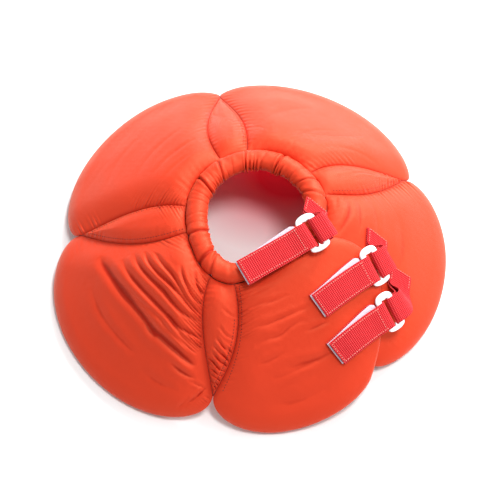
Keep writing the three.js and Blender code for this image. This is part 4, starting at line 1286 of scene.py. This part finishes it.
for i, side, low, high in SEWN:
    v = np.linspace(low, high, SEWN_STEPS)
    half_width = np.maximum(leaf_half_width(i, v * GUSSETS[i][3]), 1.0)
    u = 0.5 + 0.5 * side * clamp(1 - STITCH_INSET / half_width, 0.1, 1)
    sew_cloth(f"{GUSSETS[i][0]}_{'ab'[side > 0]}", GUSSETS[i][0], leaves[i], u, v)
v = np.linspace(*LAP_SEWN, SEWN_STEPS)
at = petals[-1].place(LAP_PROBE + 0 * v, v)
u = LAP_PROBE * LAP_STITCH_INSET / np.maximum(at["from_start"], 0.5)
sew_cloth("near_over", "petal_near_over", petals[-1], u, v)

for n, (strap, tab) in enumerate(webbing, 1):
    rise = WEBBING_THICKNESS / 2 + WEBBING_STITCH_RISE
    reach = WEBBING_WIDTH / 2 - EDGE_INSET
    top, sewn = strap[1 - STRAP_STEPS:-1], tab[-PATCH_STEPS - 1:]
    across = np.linspace(reach, -reach, WIDTH_STEPS)
    line = ([off(f, reach, -rise) for f in top] + [off(top[-1], w, -rise) for w in across]
            + [off(f, -reach, -rise) for f in top[::-1]] + [off(top[1], w, -rise) for w in across[::-1]])
    stitches(f"stitches_strap_{n}", line, pink_thread_look, "webbing", **WEBBING_STITCH)
    line = [off(f, reach, -rise) for f in sewn] + [off(f, -reach, -rise) for f in sewn[::-1]]
    stitches(f"stitches_tab_{n}", line, pink_thread_look, "webbing", **WEBBING_STITCH)

# ---- floor, light and camera
FLOOR_WHITE = (0.93, 0.93, 0.93)
# Painted light: the red light that comes through the cloth onto the floor under the neck's far side is
# painted into the floor's colour.
FLOOR_PAINTED_GLOW = (0.62, 0.04, 0.085)
FLOOR_PAINTED_GLOW_AT = (40, 84)
FLOOR_PAINTED_GLOW_REACH = 92
FLOOR_PAINTED_GLOW_NARROW = 0.75  # it reaches further across than back and forth
FLOOR_PAINTED_GLOW_STRENGTH = 1.35
bpy.ops.mesh.primitive_plane_add(size=12, location=(0, 0, 0))
floor = bpy.context.object
floor.name = "floor"
look, tree, shader = node_material("floor_white_painted_glow", FLOOR_WHITE, 0.9)
# A soft red patch painted on the floor as light through the cloth.
narrow = in_place(tree, node(tree, "VectorMath", operation="MULTIPLY"))
narrow.inputs[1].default_value = (FLOOR_PAINTED_GLOW_NARROW, 1, 1)
away = node(tree, "VectorMath", operation="DISTANCE")
feed(tree, away.inputs[0], narrow.outputs[0])
away.inputs[1].default_value = (FLOOR_PAINTED_GLOW_NARROW * FLOOR_PAINTED_GLOW_AT[0] * MM, FLOOR_PAINTED_GLOW_AT[1] * MM, 0)
fade = math_node(tree, "MULTIPLY", away.outputs["Value"], 1 / (FLOOR_PAINTED_GLOW_REACH * MM))
fade = math_node(tree, "MAXIMUM", math_node(tree, "SUBTRACT", 1.0, fade), 0.0)
fade = math_node(tree, "MINIMUM", math_node(tree, "MULTIPLY", fade, FLOOR_PAINTED_GLOW_STRENGTH), 1.0)
paint(tree, shader, fade, FLOOR_WHITE, FLOOR_PAINTED_GLOW)
floor.data.materials.append(look)


def area_light(name, place, aim, size, power, colour=(1, 1, 1)):
    data = bpy.data.lights.new(name, "AREA")
    data.shape = "RECTANGLE"
    data.size, data.size_y = size
    data.energy = power
    data.color = colour
    made = bpy.data.objects.new(name, data)
    made.location = place
    made.rotation_euler = (Vector(aim) - Vector(place)).to_track_quat("-Z", "Y").to_euler()
    bpy.context.scene.collection.objects.link(made)


WORLD_STRENGTH = 0.48
# Each light's place and aim in metres, size and watts.
area_light("softbox_back", (0.72, 1.42, 1.1), (0, 0, 0.03), (0.9, 0.7), 54)
area_light("softbox_top", (0.45, -0.05, 1.7), (0, 0, 0), (0.45, 0.45), 18)
area_light("softbox_right", (1.5, 0.1, 1.0), (0, 0, 0.03), (0.7, 0.7), 9)
area_light("glow_through_cloth", (0.03, 0.115, 0.045), (0.02, 0.06, 0), (0.16, 0.08), 0.11, (1, 0.11, 0.15))
world = bpy.data.worlds.new("studio")
world.use_nodes = True
background = world.node_tree.nodes["Background"]
background.inputs["Color"].default_value = (1, 1, 1, 1)
background.inputs["Strength"].default_value = WORLD_STRENGTH
bpy.context.scene.world = world

bpy.context.scene.view_settings.view_transform = "Standard"
camera_data = bpy.data.cameras.new("camera")
camera_data.lens = LENS
camera_data.sensor_width = SENSOR
camera_data.clip_start = 0.05
camera = bpy.data.objects.new("camera", camera_data)
bpy.context.scene.collection.objects.link(camera)
elevation = VIEW_ELEVATION * RAD
forward = np.array([0, math.cos(elevation), -math.sin(elevation)])
camera.location = (VIEW_TARGET + SHIFT - forward * VIEW_DISTANCE) * MM
camera.rotation_euler = Vector(forward).to_track_quat("-Z", "Y").to_euler()
bpy.context.scene.camera = camera
